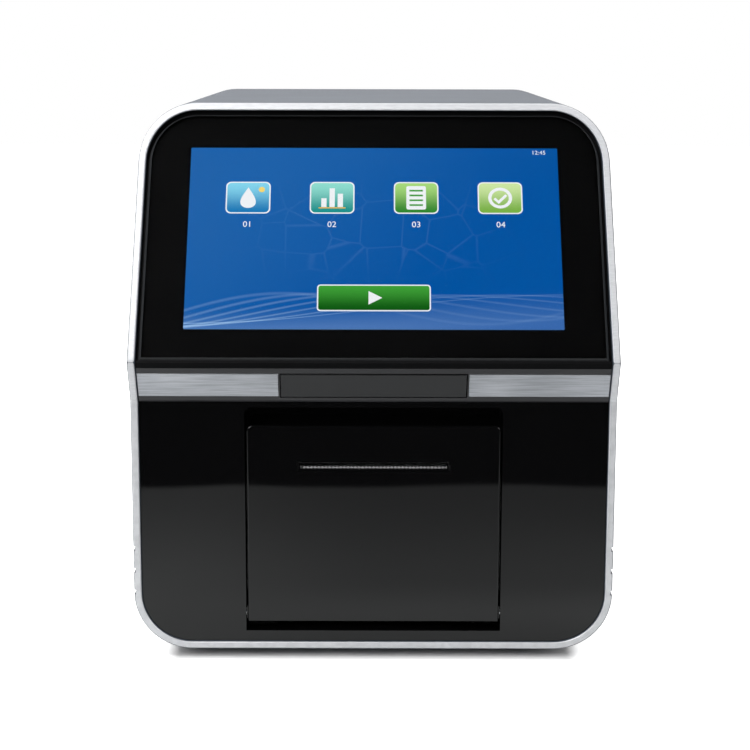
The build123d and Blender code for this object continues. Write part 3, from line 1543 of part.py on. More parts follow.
with BuildPart() as power_supply:
    with BuildSketch(Plane.XY.offset(base_top)):
        with Locations((supply_side, supply_y)):
            Rectangle(supply_width, supply_depth)
    extrude(amount=supply_height)
    with BuildSketch(Plane.XY.offset(base_top + supply_height)):
        with Locations((supply_side, supply_y)):
            with GridLocations(*supply_slot_pitch, *supply_slots):
                SlotOverall(slot_length, slot_width, rotation=90)
    extrude(amount=-wall, mode=Mode.SUBTRACT)
save(power_supply, "power_supply")

shelf_y = nose_y + depth - base_end - board_depth / 2 - supply_gap
shelf_z = base_top + shelf_lift
shelf_half = base_half - shelf_side_inset
standoff_x = board_width / 2 - standoff_inset
standoff_y = board_depth / 2 - standoff_inset
standoff_spots = [(x, shelf_y + y) for x in (-standoff_x, standoff_x) for y in (-standoff_y, standoff_y)]

with BuildPart() as board_shelf:
    with BuildSketch(facing_back(shelf_y + board_depth / 2)):
        with BuildLine():
            Polyline(
                (-shelf_half, base_top),
                (-shelf_half, shelf_z),
                (shelf_half, shelf_z),
                (shelf_half, base_top),
                (shelf_half - base_thickness, base_top),
                (shelf_half - base_thickness, shelf_z - base_thickness),
                (base_thickness - shelf_half, shelf_z - base_thickness),
                (base_thickness - shelf_half, base_top),
                close=True,
            )
        make_face()
    extrude(amount=board_depth)
    with BuildSketch(Plane.YZ):
        with Locations((shelf_y + board_depth / 2, base_top)):
            Rectangle(2 * (board_depth - shelf_depth), 2 * (shelf_lift - 3 * base_thickness))
    extrude(amount=shelf_half, both=True, mode=Mode.SUBTRACT)
    with BuildSketch(Plane.XY.offset(shelf_z)):
        with Locations(*standoff_spots):
            RegularPolygon(board_standoff / 2, 6)
    extrude(amount=board_standoff)
save(board_shelf, "board_shelf")

with BuildPart() as main_board:
    with BuildSketch(Plane.XY.offset(shelf_z + board_standoff)):
        with Locations((0, shelf_y)):
            Rectangle(board_width, board_depth)
    extrude(amount=board_thickness)
    with BuildSketch(Plane.XY.offset(board_top)):
        for x, y, chip_width, chip_length in board_chips + board_headers:
            with Locations((x, shelf_y + y)):
                Rectangle(chip_width, chip_length)
        for x, y in board_cans:
            with Locations((x, shelf_y + y)):
                Circle(can_radius)
    extrude(amount=chip_height)
save(main_board, "main_board")

network_middle = board_top + network_size[1] / 2
usb_middle = board_top + usb_size[1] / 2

with BuildPart() as board_sockets:
    with BuildSketch(facing_back(panel_back)):
        with Locations((socket_side, network_middle)):
            Rectangle(*network_size)
    extrude(amount=network_length)
    with BuildSketch(facing_back(panel_back)):
        with Locations((socket_side, network_middle)):
            Rectangle(*network_mouth)
        with Locations((socket_side, network_middle - network_mouth[1] / 2)):
            Rectangle(*network_latch)
    extrude(amount=network_mouth_depth, mode=Mode.SUBTRACT)
    with BuildSketch(facing_back(panel_back)):
        with Locations((usb_side, usb_middle)):
            Rectangle(*usb_size)
            with GridLocations(0, usb_pitch, 1, 2):
                Rectangle(*usb_slot, mode=Mode.SUBTRACT)
    extrude(amount=usb_mouth)
    with BuildSketch(facing_back(panel_back - usb_mouth)):
        with Locations((usb_side, usb_middle)):
            Rectangle(*usb_size)
    extrude(amount=usb_length - usb_mouth)
    with BuildSketch(facing_back(panel_back - usb_recess)):
        with Locations((usb_side, usb_middle + usb_recess)):
            with GridLocations(0, usb_pitch, 1, 2):
                Rectangle(*usb_tongue)
    extrude(amount=usb_mouth - usb_recess)
save(board_sockets, "board_sockets")
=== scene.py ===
from math import atan2, cos, pi, radians, sin

import bmesh
import bpy
from mathutils import Matrix, Vector


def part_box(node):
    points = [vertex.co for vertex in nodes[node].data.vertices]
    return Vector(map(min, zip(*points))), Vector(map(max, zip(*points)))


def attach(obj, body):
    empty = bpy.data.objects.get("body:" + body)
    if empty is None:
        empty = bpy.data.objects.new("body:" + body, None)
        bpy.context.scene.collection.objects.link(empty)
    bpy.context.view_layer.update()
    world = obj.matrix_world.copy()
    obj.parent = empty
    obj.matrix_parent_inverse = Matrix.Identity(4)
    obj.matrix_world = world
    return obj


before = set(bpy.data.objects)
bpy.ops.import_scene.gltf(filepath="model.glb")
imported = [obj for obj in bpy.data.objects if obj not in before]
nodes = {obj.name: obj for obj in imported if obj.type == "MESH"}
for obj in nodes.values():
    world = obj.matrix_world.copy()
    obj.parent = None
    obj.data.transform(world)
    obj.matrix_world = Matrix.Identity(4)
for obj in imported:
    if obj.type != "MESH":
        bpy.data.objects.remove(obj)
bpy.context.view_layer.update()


# Housing sleeve: one wrap of 3.2 mm aluminium, folded, welded shut under the case and anodised grey.
# Its front edge is cut to the side view afterwards, so the cut face is bare, finely brushed metal,
# and so is the small chamfer inside it.
class Wire:
    """A socket in a shader tree. Arithmetic on it adds Math nodes to the same tree."""

    def __init__(self, tree, socket=None):
        self.tree = tree
        self.socket = socket

    def node(self, kind, settings=None, values=None, output=0):
        """Adds any node: first its settings, then the values or links of its sockets."""
        made = self.tree.nodes.new("ShaderNode" + kind)
        for name, setting in (settings or {}).items():
            setattr(made, name, setting)
        for name, value in (values or {}).items():
            if isinstance(value, Wire):
                self.tree.links.new(value.socket, made.inputs[name])
            else:
                made.inputs[name].default_value = value
        return Wire(self.tree, made.outputs[output])

    def math(self, operation, *values):
        return self.node("Math", {"operation": operation}, dict(enumerate(values)))

    def __add__(self, other):
        return self.math("ADD", self, other)

    def __sub__(self, other):
        return self.math("SUBTRACT", self, other)

    def __rsub__(self, other):
        return self.math("SUBTRACT", other, self)

    def __mul__(self, other):
        return self.math("MULTIPLY", self, other)

    def __abs__(self):
        return self.math("ABSOLUTE", self)

    __radd__ = __add__
    __rmul__ = __mul__

    def sine(self):
        return self.math("SINE", self)

    def lower(self, other):
        return self.math("MINIMUM", self, other)

    def higher(self, other):
        return self.math("MAXIMUM", self, other)

    def along(self, direction):
        """How far this place lies along a direction."""
        values = {0: self, 1: tuple(direction)}
        return self.node("VectorMath", {"operation": "DOT_PRODUCT"}, values, "Value")

    def ease(self, start, end, low=0.0, high=1.0):
        """Goes smoothly from low to high while this value goes from start to end."""
        settings = {"interpolation_type": "SMOOTHSTEP"}
        values = {"Value": self, "From Min": start, "From Max": end, "To Min": low, "To Max": high}
        return self.node("MapRange", settings, values)

    def tint(self, first, second):
        """A colour that goes from the first to the second as this value goes from 0 to 1."""
        return self.node("Mix", {"data_type": "RGBA"}, {0: self, 6: first, 7: second}, 2)

    def speckle(self, size, stretch=(1, 1, 1), detail=2.0):
        """Noise over this place with grains of a given size, drawn out along the axes."""
        scaled = self.node("Mapping", {}, {"Vector": self, "Scale": tuple(1 / s for s in stretch)})
        return self.node("TexNoise", {}, {"Vector": scaled, "Scale": 1 / size, "Detail": detail})

    def relief(self, height):
        """A bumped normal that treats this value as a height of so many metres."""
        return self.node("Bump", {}, {"Height": self, "Strength": 1.0, "Distance": height})


def start_finish(name):
    """A new material and the place on the piece that its patterns read."""
    material = bpy.data.materials.new(name)
    material.use_nodes = True
    place = Wire(material.node_tree).node("TexCoord", output="Object")
    return material, place


def end_finish(material, **sockets):
    """Sets the shader's sockets, named with _ for a space, to values or wires."""
    shader = material.node_tree.nodes["Principled BSDF"]
    for name, value in sockets.items():
        socket = shader.inputs[name.replace("_", " ")]
        if isinstance(value, Wire):
            material.node_tree.links.new(value.socket, socket)
        else:
            socket.default_value = value
    return material


def dress(material, *names):
    """Gives CAD nodes a material."""
    for name in names:
        for slot in nodes[name].material_slots:
            slot.material = material


def front_frame(origin, lean):
    """A front panel's own axes: x across it, y up it and z out of it."""
    return Matrix.Translation(origin) @ Matrix.Rotation(pi / 2 - lean, 4, "X")


nose = Vector((0, -0.156653, 0.1263))
knee = Vector((0, -0.146273, 0.1091))
screen_lean = radians(34.5)
facet_lean = atan2(knee.y - nose.y, nose.z - knee.z)
display = front_frame(nose, screen_lean)
facet = front_frame(nose, -facet_lean)
chin = front_frame(knee, -radians(2))

sleeve_metal, place = start_finish("sleeve_anodised_and_brushed")
heights = []
for panel in (display, facet, chin):
    out = panel.to_3x3().col[2]
    heights.append(place.along(out) - out.dot(panel.translation))
behind_front = heights[0].higher(heights[1].lower(heights[2])) * -1
cut = behind_front.ease(0.0004, 0.0003)
mottle = place.speckle(0.0007, detail=3.0)
cloud = place.speckle(0.03)
brush = place.speckle(0.00025, stretch=(14, 1, 14))
oxide = (mottle * 0.7 + cloud * 0.3).ease(0.3, 0.7)
grey_oxide = oxide.tint((0.042, 0.052, 0.07, 1), (0.066, 0.08, 0.103, 1))
bare = brush.ease(0.3, 0.7).tint((0.54, 0.55, 0.57, 1), (0.61, 0.62, 0.64, 1))
end_finish(
    sleeve_metal,
    Base_Color=cut.tint(grey_oxide, bare),
    Metallic=cut.ease(0, 1, 0.2, 0.35),
    Roughness=cut.ease(0, 1, 0.58, 0.4) + mottle * 0.06,
    Normal=(mottle * (1 - cut) + brush * cut * 0.4).relief(0.00004),
    Specular_IOR_Level=0.35,
)
dress(sleeve_metal, "housing_sleeve")


# Display bezel: black moulding that carries the glass, clipped inside the sleeve. Its visible edge is
# the thin lip round the nose; it has the fine spark-eroded texture of its mould.
def moulded(name, colour, roughness, grain=0.0004, depth_of_grain=0.00001, shine=0.5):
    """Moulded plastic: an eroded texture, a little uneven gloss and paler worn patches."""
    material, place = start_finish(name)
    fine = place.speckle(grain, detail=1.0)
    broad = place.speckle(0.025, detail=3.0)
    lighter = tuple(min(1.0, 1.25 * part + 0.003 * shine) for part in colour)
    return end_finish(
        material,
        Base_Color=broad.ease(0.35, 0.75).tint((*colour, 1), (*lighter, 1)),
        Roughness=broad.ease(0.3, 0.7, roughness - 0.05, roughness + 0.06) + fine * 0.04,
        Normal=fine.relief(depth_of_grain),
        Specular_IOR_Level=shine,
    )


dress(moulded("bezel_black", (0.002, 0.002, 0.0024), 0.5, shine=0.06), "display_bezel")

# Touch glass: 2 mm clear cover glass, held by thin foam tape. Black ink is printed on its back round
# the window, and its front edge is ground to a bevel that catches the light.
display_out = display.to_3x3().col[2]
display_up = display.to_3x3().col[1]
glass_recess = 0.0003
glass_back = 0.0023
glass_bevel = 0.001
glass_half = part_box("touch_glass")[1].x
glass_base = 0.0015
glass_rear_of_edge = (glass_recess + glass_bevel) * sin(screen_lean)
glass_top = (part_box("touch_glass")[1].z - nose.z + glass_rear_of_edge) / cos(screen_lean)
glass_round = 0.0194
glass_rise = glass_round / cos(screen_lean)
window_half = 0.07705
window_low = 0.0158
window_high = glass_top - 0.016

clear_glass, place = start_finish("cover_glass")
smear = place.speckle(0.02, stretch=(1.6, 1, 1), detail=4.0)
end_finish(
    clear_glass,
    Base_Color=(1, 1, 1, 1),
    Transmission_Weight=1.0,
    IOR=1.5,
    Roughness=smear.ease(0.45, 0.75, 0.012, 0.035),
)
dress(clear_glass, "touch_glass")
dress(moulded("tape_black", (0.01, 0.01, 0.01), 0.9, 0.0002, 0.00004, 0.2), "glass_gasket")


def add_piece(mesh, material, body):
    """Puts a mesh in the scene as a finished piece that rides on a body."""
    piece = bpy.data.objects.new(mesh.name, mesh)
    bpy.context.scene.collection.objects.link(piece)
    if not mesh.materials:
        mesh.materials.append(material)
    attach(piece, body)
    return piece


def glass_outline(inset, steps=16):
    """The glass's outline moved inwards: square below and round above."""
    half = glass_half - inset
    top = glass_top - inset
    radius = glass_round - inset
    rise = glass_rise - inset
    points = [(-half, glass_base + inset), (half, glass_base + inset)]
    for side, start in ((1, 0.0), (-1, pi / 2)):
        middle = (side * (half - radius), top - rise)
        for step in range(steps + 1):
            angle = start + step / steps * pi / 2
            points.append((middle[0] + radius * cos(angle), middle[1] + rise * sin(angle)))
    return points


def banded_ring(name, bands):
    """A closed band round the glass from (inset, height) pairs of its section."""
    made = bmesh.new()
    rings = []
    for inset, level in bands:
        rings.append([made.verts.new((x, y, level)) for x, y in glass_outline(inset)])
    for first, second in zip(rings, rings[1:] + rings[:1]):
        for i in range(len(first)):
            j = (i + 1) % len(first)
            made.faces.new((first[i], first[j], second[j], second[i]))
    bmesh.ops.recalc_face_normals(made, faces=made.faces)
    made.transform(display)
    mesh = bpy.data.meshes.new(name)
    made.to_mesh(mesh)
    made.free()
    return mesh


film = 0.00003
ground = [
    (0.0, -glass_recess - glass_bevel + film),
    (glass_bevel, -glass_recess + film),
    (glass_bevel, -glass_recess),
    (0.0, -glass_recess - glass_bevel),
]
ground_edge, place = start_finish("ground_edge")
wheel = place.speckle(0.0005, stretch=(6, 1, 1))
end_finish(
    ground_edge,
    Base_Color=wheel.tint((0.012, 0.013, 0.014, 1), (0.03, 0.031, 0.033, 1)),
    Roughness=wheel.ease(0.3, 0.7, 0.14, 0.24),
)
add_piece(banded_ring("glass_ground_edge", ground), ground_edge, "root")


def flat_mesh(name, frame_of, loops, low, high):
    """A thin plate on a panel between two heights; later loops are holes in the first."""
    made = bmesh.new()
    edges = []
    for loop in loops:
        ring = [made.verts.new((x, y, low)) for x, y in loop]
        for a, b in zip(ring, ring[1:] + ring[:1]):
            edges.append(made.edges.new((a, b)))
    if len(loops) > 1:
        faces = bmesh.ops.triangle_fill(made, use_beauty=True, edges=edges)["geom"]
        faces = [face for face in faces if isinstance(face, bmesh.types.BMFace)]
    else:
        faces = [made.faces.new(made.verts)]
    raised = bmesh.ops.extrude_face_region(made, geom=faces)["geom"]
    lifted = [vert for vert in raised if isinstance(vert, bmesh.types.BMVert)]
    bmesh.ops.translate(made, verts=lifted, vec=(0, 0, high - low))
    bmesh.ops.recalc_face_normals(made, faces=made.faces)
    made.transform(frame_of)
    mesh = bpy.data.meshes.new(name)
    made.to_mesh(mesh)
    made.free()
    return mesh


def rounded(x, y, width, height, radius, steps=6):
    """The corners of a rounded rectangle about a centre, anticlockwise."""
    points = []
    for turn, (side, rise) in enumerate(((1, 1), (-1, 1), (-1, -1), (1, -1))):
        middle = (x + side * (width / 2 - radius), y + rise * (height / 2 - radius))
        for step in range(steps + 1):
            angle = (turn + step / steps) * pi / 2
            points.append((middle[0] + radius * cos(angle), middle[1] + radius * sin(angle)))
    return points


window_middle = (window_low + window_high) / 2
window = rounded(0, window_middle, 2 * window_half, window_high - window_low, 0.0004, 2)
ink_margin = 0.0004
ink_black, place = start_finish("ink_black")
dots = place.speckle(0.0003)
end_finish(
    ink_black,
    Base_Color=dots.tint((0.0012, 0.0012, 0.0014, 1), (0.002, 0.002, 0.0022, 1)),
    Roughness=0.5,
    Specular_IOR_Level=0.05,
)
ink_edges = [glass_outline(ink_margin), window]
ink = flat_mesh("glass_ink", display, ink_edges, -glass_back + film, -glass_back + 2 * film)
add_piece(ink, ink_black, "root")

# Picture panel: a lit 7 inch panel in a thin folded tray, clamped behind the glass by its bracket.
# Its picture is a plain blue wallpaper with a few pale swells, and the ink hides the panel's rim.
panel_face = 0.0025
lit_panel, place = start_finish("lit_panel")
across = place.along((1, 0, 0))
up = place.along(display_up) - display_up.dot(nose)
behind = place.along(display_out) * -1 + display_out.dot(nose)
lit = behind.ease(panel_face + 0.0003, panel_face + 0.0002)
lit = lit * abs(across).ease(window_half + 0.001, window_half + 0.0009)
lit = lit * abs(up - window_middle).ease(0.0441, 0.044)
# The picture's blue is lighter towards its top left corner.
lighter_to_top_left = (across * -5.0 + up * 5.0).ease(0.0, 0.8)
waves = across * 0.0
wave_count = 7
wave_height = 0.0252
wave_slope = 0.045
for wave in range(wave_count):
    swell = (across * (26 + 1.5 * wave) + 0.5 * wave).sine()
    crest = swell * (0.0035 + 0.0009 * wave) + across * wave_slope + wave_height
    line = abs(up - crest).ease(0.00035 + 0.00012 * wave, 0.0)
    waves = waves + line * across.ease(-0.08, 0.02, 0.6, 0.2) * (0.75 - 0.08 * wave)
haze = (across * 20.0).sine() * 0.005 + 0.0265
veil = (up - haze).ease(0.004, -0.014) * across.ease(-0.08, 0.08, 0.3, 0.1)
edge_lines = {"feature": "DISTANCE_TO_EDGE"}
cells = place.node("TexVoronoi", edge_lines, {"Vector": place, "Scale": 70.0}, "Distance")
web = cells.ease(0.03, 0.0) * abs(up - 0.064).ease(0.03, 0.008) * abs(across).ease(0.07, 0.02) * 0.05
blue = lighter_to_top_left.tint((0.0, 0.088, 0.375, 1), (0.012, 0.128, 0.43, 1))
picture_light = (waves + veil + web).lower(0.8).tint(blue, (0.42, 0.66, 0.95, 1))
casing = place.speckle(0.0008, stretch=(12, 1, 1)).tint((0.32, 0.33, 0.34, 1), (0.42, 0.43, 0.44, 1))
end_finish(
    lit_panel,
    Base_Color=lit.tint(casing, (0.003, 0.004, 0.008, 1)),
    Metallic=1 - lit,
    Roughness=lit.ease(0, 1, 0.38, 0.3),
    Emission_Color=lit.tint((0, 0, 0, 1), picture_light),
    Emission_Strength=1.0,
    Specular_IOR_Level=0.02,
)
dress(lit_panel, "lcd_module")

# Icons on the picture: four tiles in a row, each with a white edge and a plain sign, a number under
# each, a clock in the corner and a green start button. They are part of the lit picture, so they lie
# flat on the panel, behind the glass.
layer = 0.00003
picture_face = -panel_face + layer


def glow_finish(name, low_colour, high_colour, middle=0.0, half=1.0):
    """A lit colour that goes from one shade to another up the picture."""
    material, place = start_finish(name)
    up = place.along(display_up) - display_up.dot(nose)
    return end_finish(
        material,
        Base_Color=(0, 0, 0, 1),
        Roughness=0.3,
        Specular_IOR_Level=0.02,
        Emission_Color=up.ease(middle - half, middle + half).tint((*low_colour, 1), (*high_colour, 1)),
        Emission_Strength=1.0,
    )


def lit_shapes(name, material, level, outlines):
    """Joins flat outlines on the picture into one piece, so many layers above it."""
    joined = bmesh.new()
    for outline in outlines:
        low = picture_face + level * layer
        part = flat_mesh(name, display, outline, low, low + 0.6 * layer)
        joined.from_mesh(part)
        bpy.data.meshes.remove(part)
    mesh = bpy.data.meshes.new(name)
    joined.to_mesh(mesh)
    joined.free()
    return add_piece(mesh, material, "root")


def disc(x, y, radius, steps=28):
    """The corners of a circle."""
    angles = [2 * pi * step / steps for step in range(steps)]
    return [(x + radius * cos(a), y + radius * sin(a)) for a in angles]


def bar(x, y, width, height):
    """The corners of a plain rectangle."""
    return [
        (x - width / 2, y - height / 2),
        (x + width / 2, y - height / 2),
        (x + width / 2, y + height / 2),
        (x - width / 2, y + height / 2),
    ]


tile_row = 0.0772
tile_width = 0.0186
tile_height = 0.0152
tile_rim = 0.0011
tile_xs = [-0.0525, -0.0175, 0.0175, 0.0525]
tile_shades = {
    "cyan": ((0.01, 0.2, 0.5), (0.25, 0.72, 0.92)),
    "teal": ((0.01, 0.3, 0.28), (0.3, 0.78, 0.68)),
    "green": ((0.03, 0.25, 0.03), (0.42, 0.75, 0.22)),
    "lime": ((0.2, 0.46, 0.06), (0.66, 0.86, 0.4)),
}
button_x, button_y = 0.0, 0.0303
button_width, button_height = 0.0464, 0.0122

lit_white = glow_finish("lit_white", (0.9, 0.93, 0.96), (0.94, 0.97, 1.0), 0.06, 0.05)
lit_gold = glow_finish("lit_gold", (0.9, 0.5, 0.05), (1.0, 0.75, 0.2), tile_row, 0.006)
lit_leaf = glow_finish("lit_leaf", (0.004, 0.1, 0.006), (0.05, 0.36, 0.04), button_y, 0.0058)
edges = [[rounded(x, tile_row, tile_width, tile_height, 0.0022)] for x in tile_xs]
edges.append([rounded(button_x, button_y, button_width, button_height, 0.0014)])
lit_shapes("icon_edges", lit_white, 0, edges)
for x, (shade, (low_shade, high_shade)) in zip(tile_xs, tile_shades.items()):
    paint = glow_finish(f"lit_{shade}", low_shade, high_shade, tile_row, 0.0075)
    inner = rounded(x, tile_row, tile_width - tile_rim, tile_height - tile_rim, 0.0018)
    lit_shapes(f"icon_{shade}", paint, 1, [[inner]])
inner = rounded(button_x, button_y, button_width - tile_rim, button_height - tile_rim, 0.001)
lit_shapes("button_face", lit_leaf, 1, [[inner]])

arrow = [(-0.0022, -0.0031), (0.0034, 0.0), (-0.0022, 0.0031)]
arrow = [(button_x + x, button_y + y) for x, y in arrow]
turns = [2 * pi * step / 40 for step in range(1, 41)]
drop = [(tile_xs[0] + 0.0046 * sin(a) * sin(a / 2) ** 1.5, tile_row + 0.0050 * cos(a)) for a in turns]
bars = []
for place_in_row, tall in enumerate((0.0042, 0.0090, 0.0064)):
    bar_x = tile_xs[1] + 0.0034 * (place_in_row - 1)
    bars.append([bar(bar_x, tile_row - 0.0045 + tall / 2, 0.0022, tall)])
page = rounded(tile_xs[2], tile_row, 0.0082, 0.0112, 0.0008)
ring_outer = 0.0050
ring_inner = 0.0036
dial = [disc(tile_xs[3], tile_row, ring_outer), disc(tile_xs[3], tile_row, ring_inner)]
tick = [
    (-0.0020, 0.0002),
    (-0.0007, -0.0012),
    (0.0022, 0.0018),
    (0.0030, 0.0010),
    (-0.0006, -0.0029),
    (-0.0028, -0.0006),
]
tick = [(tile_xs[3] + x, tile_row + y) for x, y in tick]
lit_shapes("icon_signs", lit_white, 3, [[arrow], [drop], *bars, [page], dial, [tick]])
lines = [[bar(tile_xs[2], tile_row + 0.0034 - 0.0023 * i, 0.0056, 0.0008)] for i in range(4)]
lit_shapes("page_lines", lit_leaf, 4, lines)
dot = disc(tile_xs[0] + 0.0056, tile_row + 0.0038, 0.0013)
underline = bar(tile_xs[1], tile_row - 0.0049, 0.0112, 0.0005)
lit_shapes("icon_sparks", lit_gold, 4, [[dot], [underline]])


def digits(name, text, x, y, height):
    """Plain digits on the picture, made a mesh on the panel."""
    curve = bpy.data.curves.new(name, "FONT")
    curve.body = text
    curve.size = height / 0.7
    curve.align_x = "CENTER"
    curve.extrude = 0.3 * layer
    curve.resolution_u = 4
    writing = bpy.data.objects.new(name, curve)
    bpy.context.scene.collection.objects.link(writing)
    bpy.context.view_layer.update()
    evaluated = writing.evaluated_get(bpy.context.evaluated_depsgraph_get())
    mesh = bpy.data.meshes.new_from_object(evaluated)
    bpy.data.objects.remove(writing)
    mesh.name = name
    mesh.materials.clear()
    mesh.transform(display @ Matrix.Translation((x, y, picture_face + 3 * layer)))
    return mesh


for number, x in enumerate(tile_xs, 1):
    mesh = digits(f"tile_number_{number}", f"{number:02d}", x, 0.0632, 0.0027)
    add_piece(mesh, lit_white, "root")
clock = digits("clock_digits", "12:45", 0.0692, window_high - 0.0029, 0.0019)
add_piece(clock, lit_white, "root")


# Display bracket and board: a zinc-plated pressing that clamps the panel, and the green coated board
# that drives it, on stand-offs. Fine tin-ended parts are soldered in rows on both boards.
def sheet_steel(name, colour=(0.52, 0.53, 0.54), roughness=0.36, stretch=(10, 1, 1)):
    """Plated sheet: drawn-out rolling marks and the faint cloud of its zinc."""
    material, place = start_finish(name)
    rolled = place.speckle(0.0004, stretch=stretch)
    spangle = place.speckle(0.006, detail=1.0)
    duller = tuple(0.8 * part for part in colour)
    return end_finish(
        material,
        Base_Color=(rolled * 0.5 + spangle * 0.5).ease(0.35, 0.65).tint((*duller, 1), (*colour, 1)),
        Metallic=0.95,
        Roughness=spangle.ease(0.3, 0.7, roughness - 0.08, roughness + 0.1),
        Normal=rolled.relief(0.000012),
    )


def circuit(name, surface, low, high):
    """Coated board: green lacquer with paler copper tracks; what stands on it is black or grey."""
    material, place = start_finish(name)
    cells = place.node("TexVoronoi", edge_lines, {"Vector": place, "Scale": 320.0}, "Distance")
    tracks = cells.ease(0.12, 0.06)
    level = place.along(surface)
    on_top = level.ease(low + 0.00005, low + 0.00015)
    marks = place.speckle(0.004).ease(0.55, 0.6)
    lacquer = tracks.tint((0.008, 0.07, 0.03, 1), (0.03, 0.17, 0.07, 1))
    printed = marks * level.ease(high - 0.0003, high - 0.0001)
    packages = printed.tint((0.012, 0.012, 0.013, 1), (0.05, 0.05, 0.052, 1))
    return end_finish(
        material,
        Base_Color=on_top.tint(lacquer, packages),
        Roughness=on_top.ease(0, 1, 0.3, 0.5),
        Normal=tracks.relief(0.00003),
    )


plated = sheet_steel("plated_sheet")
dress(plated, "display_bracket")
board_behind = 0.0143
chips_behind = 0.0175
shift = display_out.dot(nose)
display_circuit = circuit("display_circuit", -display_out, board_behind - shift, chips_behind - shift)
dress(display_circuit, "display_board")


def small_parts_tree():
    """Rows of small soldered parts: grid points thinned at random, each a body with two tin ends."""
    tree = bpy.data.node_groups.new("small_parts", "GeometryNodeTree")
    tree.interface.new_socket("Geometry", in_out="OUTPUT", socket_type="NodeSocketGeometry")
    tree.interface.new_socket("Geometry", in_out="INPUT", socket_type="NodeSocketGeometry")
    for name, kind in (
        ("Columns", "NodeSocketInt"),
        ("Rows", "NodeSocketInt"),
        ("Width", "NodeSocketFloat"),
        ("Depth", "NodeSocketFloat"),
        ("Part Size", "NodeSocketVector"),
        ("Share", "NodeSocketFloat"),
        ("Seed", "NodeSocketInt"),
        ("Body", "NodeSocketMaterial"),
        ("Ends", "NodeSocketMaterial"),
    ):
        tree.interface.new_socket(name, in_out="INPUT", socket_type=kind)
    made = tree.nodes
    link = tree.links.new
    given = made.new("NodeGroupInput").outputs
    grid = made.new("GeometryNodeMeshGrid")
    link(given["Width"], grid.inputs["Size X"])
    link(given["Depth"], grid.inputs["Size Y"])
    link(given["Columns"], grid.inputs["Vertices X"])
    link(given["Rows"], grid.inputs["Vertices Y"])
    points = made.new("GeometryNodeMeshToPoints")
    link(grid.outputs["Mesh"], points.inputs["Mesh"])
    chance = made.new("FunctionNodeRandomValue")
    chance.data_type = "BOOLEAN"
    link(given["Share"], chance.inputs["Probability"])
    link(given["Seed"], chance.inputs["Seed"])
    turn = made.new("FunctionNodeRandomValue")
    turn.data_type = "INT"
    turn.inputs["Min"].default_value = 0
    turn.inputs["Max"].default_value = 1
    link(given["Seed"], turn.inputs["Seed"])
    quarter = made.new("ShaderNodeMath")
    quarter.operation = "MULTIPLY"
    quarter.inputs[1].default_value = pi / 2
    link(turn.outputs["Value"], quarter.inputs[0])
    angles = made.new("ShaderNodeCombineXYZ")
    link(quarter.outputs[0], angles.inputs["Z"])
    joined = made.new("GeometryNodeJoinGeometry")
    for shape, material in (((1.0, 1.0, 1.0), "Body"), ((1.45, 0.94, 0.9), "Ends")):
        scaled = made.new("ShaderNodeVectorMath")
        scaled.operation = "MULTIPLY"
        scaled.inputs[1].default_value = shape
        link(given["Part Size"], scaled.inputs[0])
        block = made.new("GeometryNodeMeshCube")
        link(scaled.outputs[0], block.inputs["Size"])
        painted = made.new("GeometryNodeSetMaterial")
        link(block.outputs["Mesh"], painted.inputs["Geometry"])
        link(given[material], painted.inputs["Material"])
        link(painted.outputs["Geometry"], joined.inputs["Geometry"])
    stood = made.new("GeometryNodeInstanceOnPoints")
    link(points.outputs["Points"], stood.inputs["Points"])
    link(joined.outputs["Geometry"], stood.inputs["Instance"])
    link(chance.outputs["Value"], stood.inputs["Selection"])
    link(angles.outputs["Vector"], stood.inputs["Rotation"])
    real = made.new("GeometryNodeRealizeInstances")
    link(stood.outputs["Instances"], real.inputs["Geometry"])
    link(real.outputs["Geometry"], made.new("NodeGroupOutput").inputs["Geometry"])
    return tree


def grown(name, tree, inputs, place):
    """A plain mesh from a Geometry Nodes tree with its inputs set, moved to its place."""
    holder = bpy.data.objects.new(name, bpy.data.meshes.new(name))
    bpy.context.scene.collection.objects.link(holder)
    modifier = holder.modifiers.new("grown", "NODES")
    modifier.node_group = tree
    for item in tree.interface.items_tree:
        if item.in_out == "INPUT" and item.name in inputs:
            modifier[item.identifier] = inputs[item.name]
    bpy.context.view_layer.update()
    evaluated = holder.evaluated_get(bpy.context.evaluated_depsgraph_get())
    mesh = bpy.data.meshes.new_from_object(evaluated)
    bpy.data.objects.remove(holder)
    mesh.name = name
    mesh.transform(place)
    return mesh


small_parts = small_parts_tree()
part_body = moulded("part_body", (0.1, 0.075, 0.05), 0.5)
part_tin = sheet_steel("part_tin", (0.7, 0.7, 0.7), 0.3)
part_size = Vector((0.0011, 0.0009, 0.0007))


def solder_parts(name, middle, columns, rows, width, depth, share, seed):
    """Places one grid of small parts with its middle on a board and its height outwards."""
    inputs = {
        "Columns": columns, "Rows": rows, "Width": width, "Depth": depth, "Part Size": part_size,
        "Share": share, "Seed": seed, "Body": part_body, "Ends": part_tin,
    }
    stood = middle @ Matrix.Translation((0, 0, part_size.z / 2))
    add_piece(grown(name, small_parts, inputs, stood), part_body, "root")


board_back_frame = front_frame(nose, screen_lean) @ Matrix.Rotation(pi, 4, "Y")
display_rows = board_back_frame @ Matrix.Translation((0.018, window_middle + 0.026, board_behind))
solder_parts("display_small_parts", display_rows, 22, 4, 0.06, 0.012, 0.7, 3)

# Mid trim: dark grey satin moulding on the facet, with the ledges above and below the metal strips
# and the mouth of the disc tray. The strips are brushed aluminium with a fine chamfer, bonded in.
dress(moulded("trim_dark_grey", (0.014, 0.014, 0.016), 0.36), "mid_trim")

